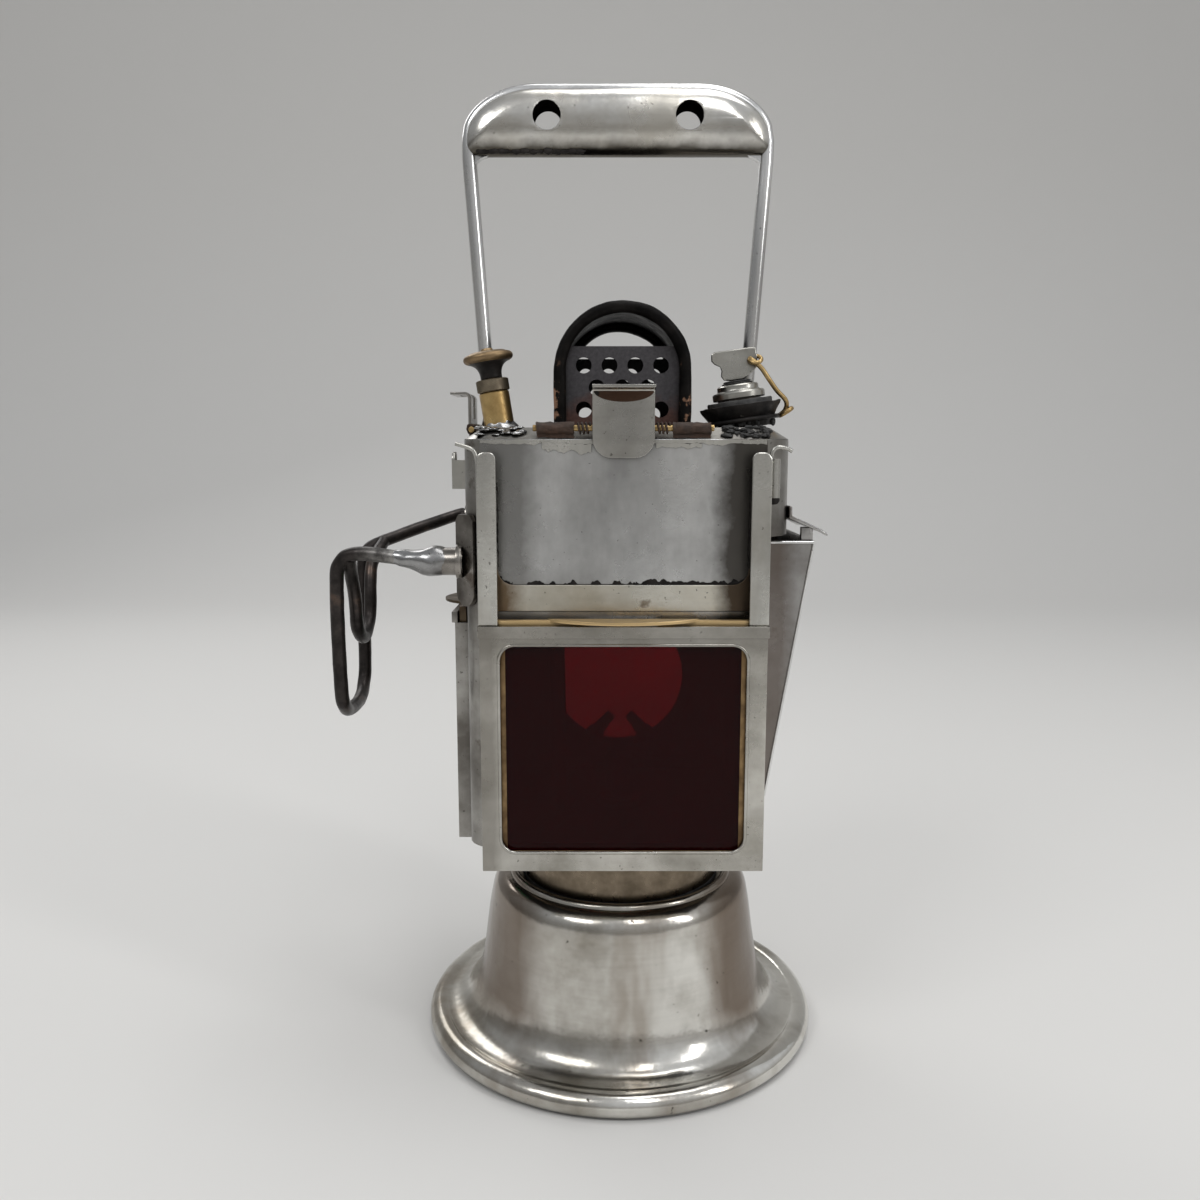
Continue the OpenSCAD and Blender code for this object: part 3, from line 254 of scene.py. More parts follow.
def hookWire():  # black iron, silvery where solder ran along the front arm
    finish, tree, shader, place = startFinish("hookWire", 0.75, 0.4)
    patches = grain(tree, place, 140, 7, 0.62)
    colour = ramp(tree, patches, (0.36, (0.018, 0.015, 0.014)), (0.58, (0.045, 0.038, 0.035)),
                  (0.72, (0.1, 0.07, 0.055)))
    front = combine(tree, "MULTIPLY", along(tree, place, "X", -86, -66), along(tree, place, "Y", -22, -30))
    runs = combine(tree, "MULTIPLY", front, ramp(tree, patches, (0.42, 0.25), (0.55, 1.0)))
    colour = blendColour(tree, runs, colour, (0.42, 0.41, 0.39))
    setSurface(tree, shader, colour, patches, (0.35, 0.5), (0.65, 0.3))
    relief(tree, shader, (patches, 0.45, 0.4), (grain(tree, place, 900, 3, 0.6), 0.3, 0.1))
    return finish


def speckled(name, smooth, grains, low, dark, light, bump, **sockets):
    finish, tree, shader, place = startFinish(name, 0.0, smooth, **sockets)
    specks = grain(tree, place, *grains)
    setSurface(tree, shader, ramp(tree, specks, (low, dark), (0.7, light)))
    if bump:
        relief(tree, shader, (specks, *bump))
    return finish


def glassFinish(name, tint, smooth, bend, clear=1.0):
    dim = tuple(0.85 * c for c in tint)
    return speckled(name, smooth, (60, 4, 0.6), 0.3, dim, tint, (0.04, 0.3), IOR=bend, Transmission_Weight=clear)


stainBrown = (0.13, 0.08, 0.04)
upright, level, both = (1, 1, 0.12), (0.12, 1, 1), (1, 1, 1)
finishes = {
    "bell": turnedNickel(),
    "nickel": sheetFinish("wornNickel", (0.74, 0.72, 0.68), (0.42, 0.39, 0.34), (0.2, 0.155, 0.11), 0.05, 0.2, level),
    "grip": sheetFinish("gripNickel", (0.93, 0.915, 0.87), (0.6, 0.57, 0.51), (0.24, 0.2, 0.15), 0.06, 0.17, level,
                        marks=(("Z", 311, 303.5, (0.05, 0.042, 0.03), 0.9),)),
    "cap": sheetFinish("mottledNickel", (0.7, 0.69, 0.64), (0.32, 0.3, 0.26), (0.1, 0.08, 0.055), 0.1, 0.28, level),
    "rod": sheetFinish("drawnWire", (0.93, 0.93, 0.925), (0.8, 0.795, 0.78), (0.24, 0.21, 0.18), 0.02, 0.17, upright,
                       bumps=0.3),
    # front plate: painted shade and reflection of the rails darken both sides
    "plate": sheetFinish("cloudyTin", (0.76, 0.76, 0.75), (0.5, 0.495, 0.485), stainBrown, 0.0, 0.26, (1, 1, 0.35),
                         bumps=0.7, marks=(("X", 23, 40, (0.075, 0.068, 0.06), 0.95),
                                           ("X", -22, -36, (0.22, 0.215, 0.205), 0.8))),
    "catch": sheetFinish("catchNickel", (0.74, 0.73, 0.69), (0.46, 0.44, 0.4), stainBrown, 0.03, 0.22, level),
    "bezel": sheetFinish("polishedTin", (0.68, 0.66, 0.61), (0.4, 0.38, 0.335), stainBrown, 0.03, 0.2, level,
                         marks=(("X", -36, -43, (0.2, 0.185, 0.16), 0.6), ("Z", 141, 150, (0.22, 0.205, 0.18), 0.5))),
    "rail": sheetFinish("paleTin", (0.8, 0.79, 0.74), (0.54, 0.52, 0.47), stainBrown, 0.03, 0.24, upright),
    "tank": sheetFinish("dullTin", (0.5, 0.485, 0.455), (0.2, 0.185, 0.165), (0.07, 0.048, 0.035), 0.1, 0.28,
                        upright, reach=5),
    "casing": sheetFinish("sootedTin", (0.46, 0.445, 0.415), (0.19, 0.175, 0.155), (0.07, 0.048, 0.035), 0.1, 0.28,
                          upright, reach=5, sootInside=True),
    "strap": sheetFinish("darkStrap", (0.52, 0.49, 0.45), (0.13, 0.115, 0.1), (0.09, 0.06, 0.04), 0.16, 0.22, both),
    "duct": sheetFinish("greyTin", (0.54, 0.53, 0.52), (0.3, 0.285, 0.27), (0.15, 0.115, 0.09), 0.05, 0.26, upright,
                        marks=(("X", 60, 47, (0.15, 0.12, 0.1), 0.75),)),
    "lintel": sheetFinish("stainedTin", (0.84, 0.81, 0.72), (0.62, 0.575, 0.475), (0.11, 0.065, 0.028), 0.08, 0.28,
                          level, marks=(("X", 24, 38, (0.05, 0.03, 0.016), 0.95),
                                        ("X", -26, -42, (0.13, 0.075, 0.03), 0.9))),
    "runSolder": sheetFinish("runSolder", (0.52, 0.52, 0.52), (0.17, 0.165, 0.16), (0.05, 0.043, 0.04), 0.12, 0.22,
                             both, bumps=0.5),
    "solder": sheetFinish("greySolder", (0.6, 0.6, 0.6), (0.28, 0.275, 0.27), (0.05, 0.043, 0.04), 0.14, 0.24,
                          both),
    "brass": agedBrass("agedBrass", (0.56, 0.4, 0.185), (0.27, 0.18, 0.08), 0.28),
    "brightBrass": agedBrass("rubbedBrass", (0.66, 0.47, 0.21), (0.42, 0.28, 0.115), 0.24),
    "dullBrass": agedBrass("dullBrass", (0.33, 0.235, 0.13), (0.15, 0.1, 0.06), 0.38),
    "greyBrass": agedBrass("greyBrass", (0.34, 0.29, 0.21), (0.16, 0.13, 0.095), 0.36),
    "frameBrass": agedBrass("frameBrass", (0.33, 0.22, 0.11), (0.15, 0.095, 0.05), 0.3, (149.5, 151)),
    "darkBrass": agedBrass("darkBrass", (0.15, 0.115, 0.075), (0.07, 0.05, 0.035), 0.36),
    "collar": agedBrass("collarBrass", (0.23, 0.185, 0.135), (0.15, 0.12, 0.085), 0.22),
    "soot": sootedMetal("sootBlack", (0.11, 0.062, 0.042), 0.09, 0.5),
    "enamel": sootedMetal("hoodEnamel", (0.3, 0.17, 0.11), 0.17, 0.36, (236, 226), 0.011),
    # painted shade under the catch's lip, brown with patina
    "patinaAndShade": sootedMetal("lipPatinaAndShade", (0.07, 0.036, 0.022), 0.4, 0.5),
    "blackPaint": sootedMetal("blackPaint", (0.16, 0.15, 0.13), 0.07, 0.36),
    "flake": sootedMetal("blackFlake", (0.04, 0.035, 0.03), 0.0, 0.5),
    "rust": rustedSheet("rustedSheet", (0.075, 0.07, 0.075), (0.105, 0.052, 0.042), 214, 232),
    "rustWire": rustedSheet("rustedBarrel", (0.05, 0.04, 0.035), (0.085, 0.048, 0.032), 200, 230),
    "hook": hookWire(),
    "rubber": speckled("oldRubber", 0.6, (420, 6, 0.65), 0.35, (0.006, 0.006, 0.006), (0.04, 0.038, 0.036),
                       (0.8, 0.5)),
    "red": glassFinish("redGlass", (0.11, 0.003, 0.005), 0.02, 1.2, 0.9),
    "green": glassFinish("greenGlass", (0.012, 0.2, 0.07), 0.02, 1.25, 0.95),
    "clear": glassFinish("clearGlass", (0.93, 0.95, 0.94), 0.01, 1.5),
    "pane": glassFinish("thinPane", (0.93, 0.95, 0.94), 0.01, 1.2),
    "ceramic": speckled("unglazedCeramic", 0.75, (500, 4, 0.6), 0.3, (0.62, 0.56, 0.47), (0.8, 0.77, 0.7),
                        (0.3, 0.1)),
    "shade": speckled("deepShade", 1.0, (300, 4, 0.6), 0.3, (0.002, 0.002, 0.002), (0.008, 0.007, 0.006), None,
                      Specular_IOR_Level=0.0),
}
print("finishes made:", len(finishes))


# mesh helpers

def keepPiece(bm, name, finish, node=None, body="lantern", smoothAngle=35):
    for face in bm.faces:
        face.smooth = True
    for edge in bm.edges:  # a wide flat face stays flat beside its narrow bevel
        if len(edge.link_faces) == 2:
            small, large = sorted(face.calc_area() for face in edge.link_faces)
            flat = large > 8e-6 and large > 4 * small
            edge.smooth = edge.calc_face_angle(0) < radians(6 if flat else smoothAngle)
    mesh = bpy.data.meshes.new(name)
    bm.to_mesh(mesh)
    bm.free()
    mesh.materials.append(finishes[finish])
    piece = bpy.data.objects.new(name, mesh)
    linkObject(piece)
    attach(piece, bodyOf[node] if node else body)
    if node:
        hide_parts(node)


def copyNode(node):  # a node's solid as clean faces
    bm = bmesh.new()
    bm.from_mesh(frame["nodes"][node].data)
    bmesh.ops.remove_doubles(bm, verts=bm.verts, dist=0.002 * mm)
    bmesh.ops.dissolve_limit(bm, angle_limit=radians(0.6), verts=bm.verts, edges=bm.edges)
    return bm


def roundEdges(bm, width, segments=2, angle=28):
    sharp = [e for e in bm.edges if len(e.link_faces) == 2 and e.calc_face_angle(0) > radians(angle)]
    bmesh.ops.bevel(bm, geom=sharp, offset=width * mm, offset_type="OFFSET", segments=segments, profile=0.5,
                    affect="EDGES", clamp_overlap=True, material=-1)


def divide(bm, longest):  # splits edges until none is longer
    for _ in range(5):
        edges = [e for e in bm.edges if e.calc_length() > longest * mm]
        if edges:
            bmesh.ops.subdivide_edges(bm, edges=edges, cuts=1, use_grid_fill=True)
            bmesh.ops.triangulate(bm, faces=[f for f in bm.faces if len(f.verts) > 4])


def roughen(bm, amount, size, seed=0.0):
    bm.normal_update()
    shift = Vector((seed, 1.7 * seed, 0.6 * seed))
    for vert in bm.verts:
        vert.co += vert.normal * (amount * mm * (noise.noise(vert.co / (size * mm) + shift) - 0.7))


def weatherNode(node, name, finish, look, seed, angle):
    bm = copyNode(node)
    divide(bm, look["split"])
    roughen(bm, look["lumps"], look["lumpSize"], seed)
    roughen(bm, look["grit"], look["gritSize"], seed + 4)
    keepPiece(bm, name, finish, node, smoothAngle=angle)


def dressNode(node, finish, edge):
    bm = copyNode(node)
    if edge:
        roundEdges(bm, edge)
    keepPiece(bm, node + "_dressed", finish, node)


def arc(x, z, r, start, end, steps):
    turns = [radians(start + (end - start) * i / steps) for i in range(steps + 1)]
    return [(x + r * cos(a), z + r * sin(a)) for a in turns]


def bezier(points, steps):
    a, b, c, d = (Vector(p) for p in points)
    curve = []
    for i in range(steps + 1):
        t = i / steps
        curve.append(tuple((1 - t) ** 3 * a + 3 * t * (1 - t) ** 2 * b + 3 * t * t * (1 - t) * c + t ** 3 * d))
    return curve


def smoothPath(points, steps):  # Catmull-Rom through the points
    p = [Vector(q) for q in points]
    path = []
    for i in range(len(p) - 1):
        a, b, c, d = p[max(i - 1, 0)], p[i], p[i + 1], p[min(i + 2, len(p) - 1)]
        for k in range(steps):
            t = k / steps
            path.append(0.5 * (2 * b + (c - a) * t + (2 * a - 5 * b + 4 * c - d) * t * t
                               + (3 * b - 3 * c + d - a) * t * t * t))
    return path + [p[-1]]


def moveAll(bm, place):
    bmesh.ops.transform(bm, matrix=place, verts=bm.verts)


def vertsOf(grown):
    return [g for g in grown if isinstance(g, bmesh.types.BMVert)]


def slab(bm, outline, y, thick):  # a flat plate that faces along Y
    face = bm.faces.new([bm.verts.new((x * mm, y * mm, z * mm)) for x, z in outline])
    grown = bmesh.ops.extrude_face_region(bm, geom=[face])["geom"]
    bmesh.ops.translate(bm, vec=(0, thick * mm, 0), verts=vertsOf(grown))
    bmesh.ops.recalc_face_normals(bm, faces=bm.faces)
    return bm


def lathe(profile, steps, place=None):  # a closed section turned about Z
    bm = bmesh.new()
    verts = [bm.verts.new((r * mm, 0, z * mm)) for r, z in profile]
    edges = [bm.edges.new(pair) for pair in zip(verts, verts[1:] + verts[:1])]
    bmesh.ops.spin(bm, geom=verts + edges, cent=(0, 0, 0), axis=(0, 0, 1), angle=tau, steps=steps,
                   use_merge=True)
    bmesh.ops.remove_doubles(bm, verts=bm.verts, dist=0.001 * mm)
    bmesh.ops.recalc_face_normals(bm, faces=bm.faces)
    if place:
        moveAll(bm, place)
    return bm


def sweep(bm, path, radii, sides):  # a round bar along a path
    points = [Vector(p) * mm for p in path]
    if isinstance(radii, (int, float)):
        radii = [radii] * len(points)
    last = len(points) - 1
    heads = [(points[min(i + 1, last)] - points[max(i - 1, 0)]).normalized() for i in range(last + 1)]
    side = heads[0].orthogonal().normalized()
    before = set(bm.verts)
    ring = bmesh.ops.create_circle(bm, cap_ends=True, segments=sides, radius=1.0)["verts"]
    edges = list({e for v in ring for e in v.link_edges})
    was = Matrix.Identity(4)
    for i in range(last + 1):
        side = (side - heads[i] * side.dot(heads[i])).normalized()
        cross = heads[i].cross(side)
        now = Matrix.Translation(points[i]) @ Matrix((side, cross, heads[i])).transposed().to_4x4()
        now = now @ Matrix.Diagonal((radii[i] * mm, radii[i] * mm, 1, 1))
        if i:
            grown = bmesh.ops.extrude_edge_only(bm, edges=edges)["geom"]
            ring = vertsOf(grown)
            fresh = set(ring)
            edges = [g for g in grown if isinstance(g, bmesh.types.BMEdge) and set(g.verts) <= fresh]
        bmesh.ops.transform(bm, matrix=now @ was.inverted(), verts=ring)
        was = now
    bmesh.ops.edgeloop_fill(bm, edges=edges)
    new = [v for v in bm.verts if v not in before]
    bmesh.ops.recalc_face_normals(bm, faces=list({f for v in new for f in v.link_faces}))
    return bm


def blob(bm, centre, size, roughness, seed, turn=0):  # a lump of solder or dirt
    made = bmesh.ops.create_icosphere(bm, subdivisions=3, radius=1.0)["verts"]
    spin = Matrix.Rotation(radians(turn), 4, "Z")
    place = Matrix.Translation(Vector(centre) * mm) @ spin @ Matrix.Diagonal((*(s * mm for s in size), 1))
    for vert in made:
        vert.co *= 1 + roughness * noise.noise(vert.co * 1.6 + Vector((seed, 2 * seed, seed)))
        vert.co = place @ vert.co
    return bm


tearLook = {"coarse": 2.2, "fine": 0.7, "fineShare": 0.4, "upperShare": 0.35, "least": 0.03}


def raggedStrip(bm, start, end, width, thick, jag, seed, steps=60):  # a flake with torn edges, facing -Y
    before = set(bm.verts)
    bmesh.ops.create_grid(bm, x_segments=steps, y_segments=1, size=0.5)
    a, b, out = Vector(start) * mm, Vector(end) * mm, Vector((0, -1, 0))
    across = out.cross((b - a).normalized())
    flat = [v for v in bm.verts if v not in before]
    for vert in flat:
        t, side = vert.co.x + 0.5, 1 if vert.co.y > 0 else -1
        torn = noise.noise(Vector((t * (b - a).length / (tearLook["coarse"] * mm), seed + side, 0.3)))
        fine = noise.noise(Vector((t * (b - a).length / (tearLook["fine"] * mm), seed - side, 1.3)))
        torn = jag * (torn + tearLook["fineShare"] * fine) * (tearLook["upperShare"] if side > 0 else 1)
        reach = max(side * (side * 0.5 * width + torn), tearLook["least"])
        vert.co = a.lerp(b, t) + across * (reach * side * mm)
    grown = bmesh.ops.extrude_face_region(bm, geom=list({f for v in flat for f in v.link_faces}))["geom"]
    raised = vertsOf(grown)
    bmesh.ops.translate(bm, vec=out * (thick * mm), verts=raised)
    bmesh.ops.recalc_face_normals(bm, faces=list({f for v in flat + raised for f in v.link_faces}))


# camera and studio

photoView = {"place": (-7.2, -366, 207), "tilt": 8.2, "lens": 31.2, "sensor": 36}


def setCamera():
    camera = bpy.data.objects.new("photoCamera", bpy.data.cameras.new("photoCamera"))
    linkObject(camera)
    camera.data.sensor_width = photoView["sensor"]
    camera.data.lens = photoView["lens"]
    camera.location = [v * mm for v in photoView["place"]]
    camera.rotation_euler = (radians(90 - photoView["tilt"]), 0, 0)
    camera.data.clip_start = 0.01
    bpy.context.scene.camera = camera


studio = {
    "paint": (0.7, 0.69, 0.67), "bend": 0.8, "wall": 1.0, "reach": 4.0,
    "sky": 0.62, "skyStops": ((0.0, (0.56, 0.54, 0.51)), (0.2, (0.72, 0.72, 0.72)), (0.45, (0.95, 0.97, 1.0))),
    "sideStops": ((0.2, 0.6), (0.6, 1.0)),  # dimmer on the left
    "softboxes": {  # place, aim, width, height, watts
        "keyBox": ((-0.8, -0.9, 1.25), (0, 0, 0.15), 0.6, 0.5, 5),
        "frontBox": ((0.3, -0.85, 1.3), (0, 0, 0.1), 0.3, 0.6, 2.5),
        "topBox": ((0.2, 0.1, 1.35), (0, 0, 0.15), 0.6, 0.6, 4),
        "sideBox": ((1.1, -0.75, 0.85), (0, 0, 0.15), 0.16, 0.8, 4),
        "backBox": ((-0.6, 0.85, 0.9), (0, 0, 0.15), 0.5, 0.5, 2.5),
    },
}


def setStudio():
    bm = bmesh.new()
    back, bend, reach = studio["wall"], studio["bend"], studio["reach"]
    profile = [(-reach, 0.0)] + arc(back, bend, bend, -90, 0, 16) + [(back + bend, reach)]
    verts = [bm.verts.new((-reach, y, z)) for y, z in profile]
    edges = [bm.edges.new(pair) for pair in zip(verts, verts[1:])]
    grown = bmesh.ops.extrude_edge_only(bm, edges=edges)["geom"]
    bmesh.ops.translate(bm, vec=(2 * reach, 0, 0), verts=vertsOf(grown))
    bmesh.ops.recalc_face_normals(bm, faces=bm.faces)
    sweepMesh = bpy.data.meshes.new("studioSweep")
    bm.to_mesh(sweepMesh)
    bm.free()
    for face in sweepMesh.polygons:
        face.use_smooth = True
    paint, tree, shader, place = startFinish("palePaint", 0.0, 0.7)
    shader.inputs["Base Color"].default_value = (*studio["paint"], 1)
    sweepMesh.materials.append(paint)
    backdrop = bpy.data.objects.new("studioSweep", sweepMesh)
    linkObject(backdrop)
    for name, (place, aim, width, height, watts) in studio["softboxes"].items():
        lamp = bpy.data.lights.new(name, "AREA")
        lamp.shape = "RECTANGLE"
        lamp.size, lamp.size_y, lamp.energy = width, height, watts
        box = bpy.data.objects.new(name, lamp)
        box.location = place
        box.rotation_euler = (Vector(aim) - Vector(place)).to_track_quat("-Z", "Y").to_euler()
        linkObject(box)
    world = bpy.data.worlds.new("studioWorld")
    bpy.context.scene.world = world
    world.use_nodes = True
    tree = world.node_tree
    lookUp = addNode(tree, "SeparateXYZ")
    tree.links.new(addNode(tree, "TexCoord").outputs["Generated"], lookUp.inputs[0])
    sky = ramp(tree, lookUp.outputs["Z"], *studio["skyStops"])
    sides = ramp(tree, combine(tree, "MULTIPLY_ADD", lookUp.outputs["X"], 0.5), *studio["sideStops"])
    sky = blendColour(tree, 1.0, sky, sides, "MULTIPLY")
    tree.links.new(sky, tree.nodes["Background"].inputs["Color"])
    tree.nodes["Background"].inputs["Strength"].default_value = studio["sky"]
    bpy.context.scene.view_settings.view_transform = "Standard"


setCamera()
setStudio()
print("camera and studio set")

# base

bellLook = {
    "beadR": 4, "beadAt": 66, "wall": 1.2, "flareR": 50.5, "cone": [(51.2, 22), (46.7, 49)],
    "shoulder": [(46.7, 49), (46.1, 54), (43.7, 56), (40.7, 56.3)], "lip": (39.1, 56.4, 1.5),
    "deck": [(37.6, 54), (31, 54), (31, 52.8), (39.1, 52.8)],
    "dents": 0.34, "dentSize": 17, "dentFrom": 1.5, "dentFull": 6,
}


def makeBell():
    bead, middle = bellLook["beadR"], bellLook["beadAt"]
    crease = arc(middle, bead, bead, 128, 128, 1)[0]
    outer = bezier([crease, (bellLook["flareR"], crease[1]), *bellLook["cone"]], 44)
    outer += bezier(bellLook["shoulder"], 14)[1:]
    inner = []
    for i, here in enumerate(outer):
        a, b = Vector(outer[max(i - 1, 0)]), Vector(outer[min(i + 1, len(outer) - 1)])
        head = (b - a).normalized()
        inner.append((here[0] - head.y * bellLook["wall"], here[1] + head.x * bellLook["wall"]))
    section = arc(middle, bead, bead, 168, 488, 36) + outer[1:]
    section += arc(*bellLook["lip"], 20, 160, 8) + bellLook["deck"] + inner[:0:-1]
    bm = lathe(section, 180)
    for vert in bm.verts:  # shallow dents, none on the foot
        rise = min(max((vert.co.z / mm - bellLook["dentFrom"]) / bellLook["dentFull"], 0), 1)
        push = rise * bellLook["dents"] * mm * (noise.noise(vert.co / (bellLook["dentSize"] * mm)) - 0.7)
        vert.co += Vector((vert.co.x, vert.co.y, 0)).normalized() * push
    keepPiece(bm, "bellShell", "bell", "carbide_bell", smoothAngle=50)


makeBell()
print("bell made")

# handle

gripLook = {
    "half": 52.4, "low": 304, "high": 327.6, "corner": 18, "oval": 26, "foot": 3, "shift": -1.2,
    "deep": 6.3, "swell": 10.2, "loops": 13, "inset": 1.5, "lift": 0.1,
    "dish": 0.03, "sag": 0.25, "sagAbove": 312, "dentSize": 11,
    "holes": (-23.5, 23.5), "holeR": 4.65, "drill": 20, "lining": (-0.12, 0.2), "liningDeep": 5.6,
}


def gripLine(side, low):  # the grip's outline, drawn in by side and low
    half, bottom, top = gripLook["half"] - side, gripLook["low"] + low, gripLook["high"] - side
    tall = min(gripLook["corner"] - side, top - bottom - 0.4)
    wide = gripLook["oval"] - side
    foot = max(gripLook["foot"] - 0.3 * low, 0.4)
    right = [(half - foot + foot * sin(a), bottom + foot - foot * cos(a)) for a in
             (radians(15 * i) for i in range(7))]
    right += [(half, bottom + foot + (top - tall - bottom - foot) * i / 4) for i in range(1, 4)]
    right += [(half - wide + wide * cos(a), top - tall + tall * sin(a)) for a in
              (radians(5 * i) for i in range(19))]
    right += [((half - wide) * (1 - i / 8), top) for i in range(1, 8)]
    base = [((half - foot) * i / 14, bottom) for i in range(14)]
    line = base + right
    return line + [(0, top)] + [(-x, z) for x, z in reversed(line[1:])]


def boreHoles(blank, drills):  # both blanks come in as bmesh, the drilled one comes out
    pair = []
    for name, bm in (("blank", blank), ("drills", drills)):
        mesh = bpy.data.meshes.new(name)
        bm.to_mesh(mesh)
        bm.free()
        pair.append(bpy.data.objects.new(name, mesh))
        linkObject(pair[-1])
    bore = pair[0].modifiers.new("bore", "BOOLEAN")
    bore.operation, bore.solver, bore.object = "DIFFERENCE", "EXACT", pair[1]
    drilled = bmesh.new()
    drilled.from_object(pair[0], bpy.context.evaluated_depsgraph_get())
    for used in pair:
        mesh = used.data
        bpy.data.objects.remove(used)
        bpy.data.meshes.remove(mesh)
    return drilled


def gripBore(x):  # the frame of a hole through the grip
    middle = (gripLook["low"] + gripLook["high"]) / 2
    across = Matrix.Rotation(pi / 2, 4, "X")
    return Matrix.Translation(((x + gripLook["shift"]) * mm, 0, middle * mm)) @ across


def makeGrip():
    deep, swell, shift, steps = (gripLook[k] for k in ("deep", "swell", "shift", "loops"))
    blank, loops = bmesh.new(), []
    for i in range(-steps, steps + 1):  # a cushion, loop by loop from back to front
        turn = radians(90 * i / steps)
        drawn = swell * (1 - cos(turn))
        verts = [blank.verts.new(((x + shift) * mm, -deep * sin(turn) * mm, z * mm))
                 for x, z in gripLine(gripLook["inset"] + drawn, gripLook["lift"] + drawn)]
        loops.append([blank.edges.new((a, b)) for a, b in zip(verts, verts[1:] + verts[:1])])
    for a, b in zip(loops, loops[1:]):
        bmesh.ops.bridge_loops(blank, edges=a + b)
    for end in (loops[0], loops[-1]):
        bmesh.ops.edgeloop_fill(blank, edges=end)
    bmesh.ops.recalc_face_normals(blank, faces=blank.faces)
    dish, size = gripLook["dish"], gripLook["dentSize"] * mm
    for vert in blank.verts:
        vert.co.y *= 1 - dish + dish * noise.noise(vert.co / size)
        if vert.co.z > gripLook["sagAbove"] * mm:
            vert.co.z += gripLook["sag"] * mm * (noise.noise(vert.co / (2.2 * size)) - 0.5)
    drills, r = bmesh.new(), gripLook["holeR"] * mm
    for x in gripLook["holes"]:
        bmesh.ops.create_cone(drills, cap_ends=True, segments=64, radius1=r, radius2=r, depth=gripLook["drill"] * mm,
                              matrix=gripBore(x))
    bm = boreHoles(blank, drills)
    roundEdges(bm, 0.3, 2, 50)
    keepPiece(bm, "gripShell", "grip", "handle_grip", smoothAngle=60)


def makeHollow():  # the dark inside seen in the holes
    inner, outer = (gripLook["holeR"] + step for step in gripLook["lining"])
    deep = gripLook["liningDeep"]
    bm = bmesh.new()
    for x in gripLook["holes"]:
        tube = lathe([(inner, -deep), (outer, -deep), (outer, deep), (inner, deep)], 48, gripBore(x))
        part = bpy.data.meshes.new("tube")
        tube.to_mesh(part)
        tube.free()
        bm.from_mesh(part)
        bpy.data.meshes.remove(part)
    keepPiece(bm, "gripHollow", "shade")


rodLook = {
    "wire": 2.4, "inside": 2.6, "foot": 43.6, "top": 49.8, "base": 214, "rimAbove": 313,
    "heights": (214.02, 230, 250, 270, 290, 298, 302), "bend": ((-0.03, 305), (0, 309)),
}


def makeRodBow():  # both rods and the rim are one wire
    inside, base, top = rodLook["inside"], rodLook["base"], rodLook["top"]
    slope = (top - rodLook["foot"]) / (gripLook["low"] - base)
    path = [(rodLook["foot"] + slope * (z - base), 0, z) for z in rodLook["heights"]]
    path += [(top + step, 0, z) for step, z in rodLook["bend"]]
    path += [(x, 0, z) for x, z in gripLine(inside, inside) if x > 0 and z > rodLook["rimAbove"]]
    path += [(0, 0, gripLook["high"] - inside)] + [(-x, 0, z) for x, _, z in reversed(path)]
    shift = Vector((gripLook["shift"], 0, 0))
    bm = sweep(bmesh.new(), [Vector(p) + shift for p in path], rodLook["wire"], 24)
    keepPiece(bm, "rodBow", "rod", "handle_rods", smoothAngle=50)


webLook = {"out": 1.2, "low": 298.5, "arcZ": 299, "arcR": 5, "tip": (6, 304.6), "high": 306, "thick": 2.6}


def makeWebs():  # in the grip's lower corners
    reach, r = gripLook["half"] - 2 * rodLook["inside"] + webLook["out"], webLook["arcR"]
    back, tipZ = webLook["tip"]
    line = [(reach, webLook["low"])] + arc(reach - r, webLook["arcZ"], r, 15, 75, 4)
    line += [(reach - back, tipZ), (reach, webLook["high"])]
    bm = bmesh.new()
    for s in (-1, 1):
        slab(bm, [(s * x + gripLook["shift"], z) for x, z in line], -webLook["thick"] / 2, webLook["thick"])
    roundEdges(bm, 0.5, 3, 60)
    keepPiece(bm, "cornerWebs", "rod")


crumbLook = {"count": 26, "start": -47, "step": 1.3, "drift": 0.9, "y": -3.0, "z": 305.2, "size": 0.65, "vary": 0.3}


def makeGripCrumbs():  # along the lower edge
    bm = bmesh.new()
    for i in range(crumbLook["count"]):
        x = crumbLook["start"] + crumbLook["step"] * i + crumbLook["drift"] * sin(3.1 * i)
        y = crumbLook["y"] + 0.3 * sin(i)
        size = crumbLook["size"] + crumbLook["vary"] * sin(2.3 * i)
        blob(bm, (x, y, crumbLook["z"]), (1.9 * size, 0.7 * size, size), 0.5, i)
    keepPiece(bm, "gripCrumbs", "flake", smoothAngle=60)


makeGrip()
makeHollow()
makeRodBow()
makeWebs()
makeGripCrumbs()

# chimney

hoodLook = {"split": 3, "lumps": 0.3, "lumpSize": 11, "grit": 0.1, "gritSize": 2.5}
weatherNode("chimney_hood", "smoothHood", "enamel", hoodLook, 1, 60)
print("handle and chimney made")

# belt hook

hookLook = {
    "outer": [(-51.8, -37, 172), (-59.5, -37, 172), (-63, -37, 172), (-84, -34, 174.2), (-91, -32, 171),
              (-93, -30, 162), (-93, -29, 130.5), (-93, -25, 122), (-93.5, -15, 118.5), (-93.5, -1, 118.5),
              (-94, 8, 122), (-94, 11.5, 130.5), (-94, 13, 162), (-92.5, 14.5, 170.5), (-85, 20, 174.5),
              (-63, 37, 182), (-59.5, 37, 182), (-51.8, 37, 182)],
    "tongue": [(-88, -33, 173), (-89, -26, 166), (-89, -22, 158), (-89, -20, 148), (-89, -11, 143), (-89, -1, 148),
               (-89, 1.5, 158), (-89, 6, 167), (-87, 17, 173.5)],
    "wire": 2.4, "lean": (0.135, 0.13), "solder": [  # x, radius
        (-55.5, 4.4), (-57.5, 4.85), (-60, 5.05), (-62.5, 4.75), (-65.5, 3.9), (-69, 3.2), (-73, 2.55)],
}


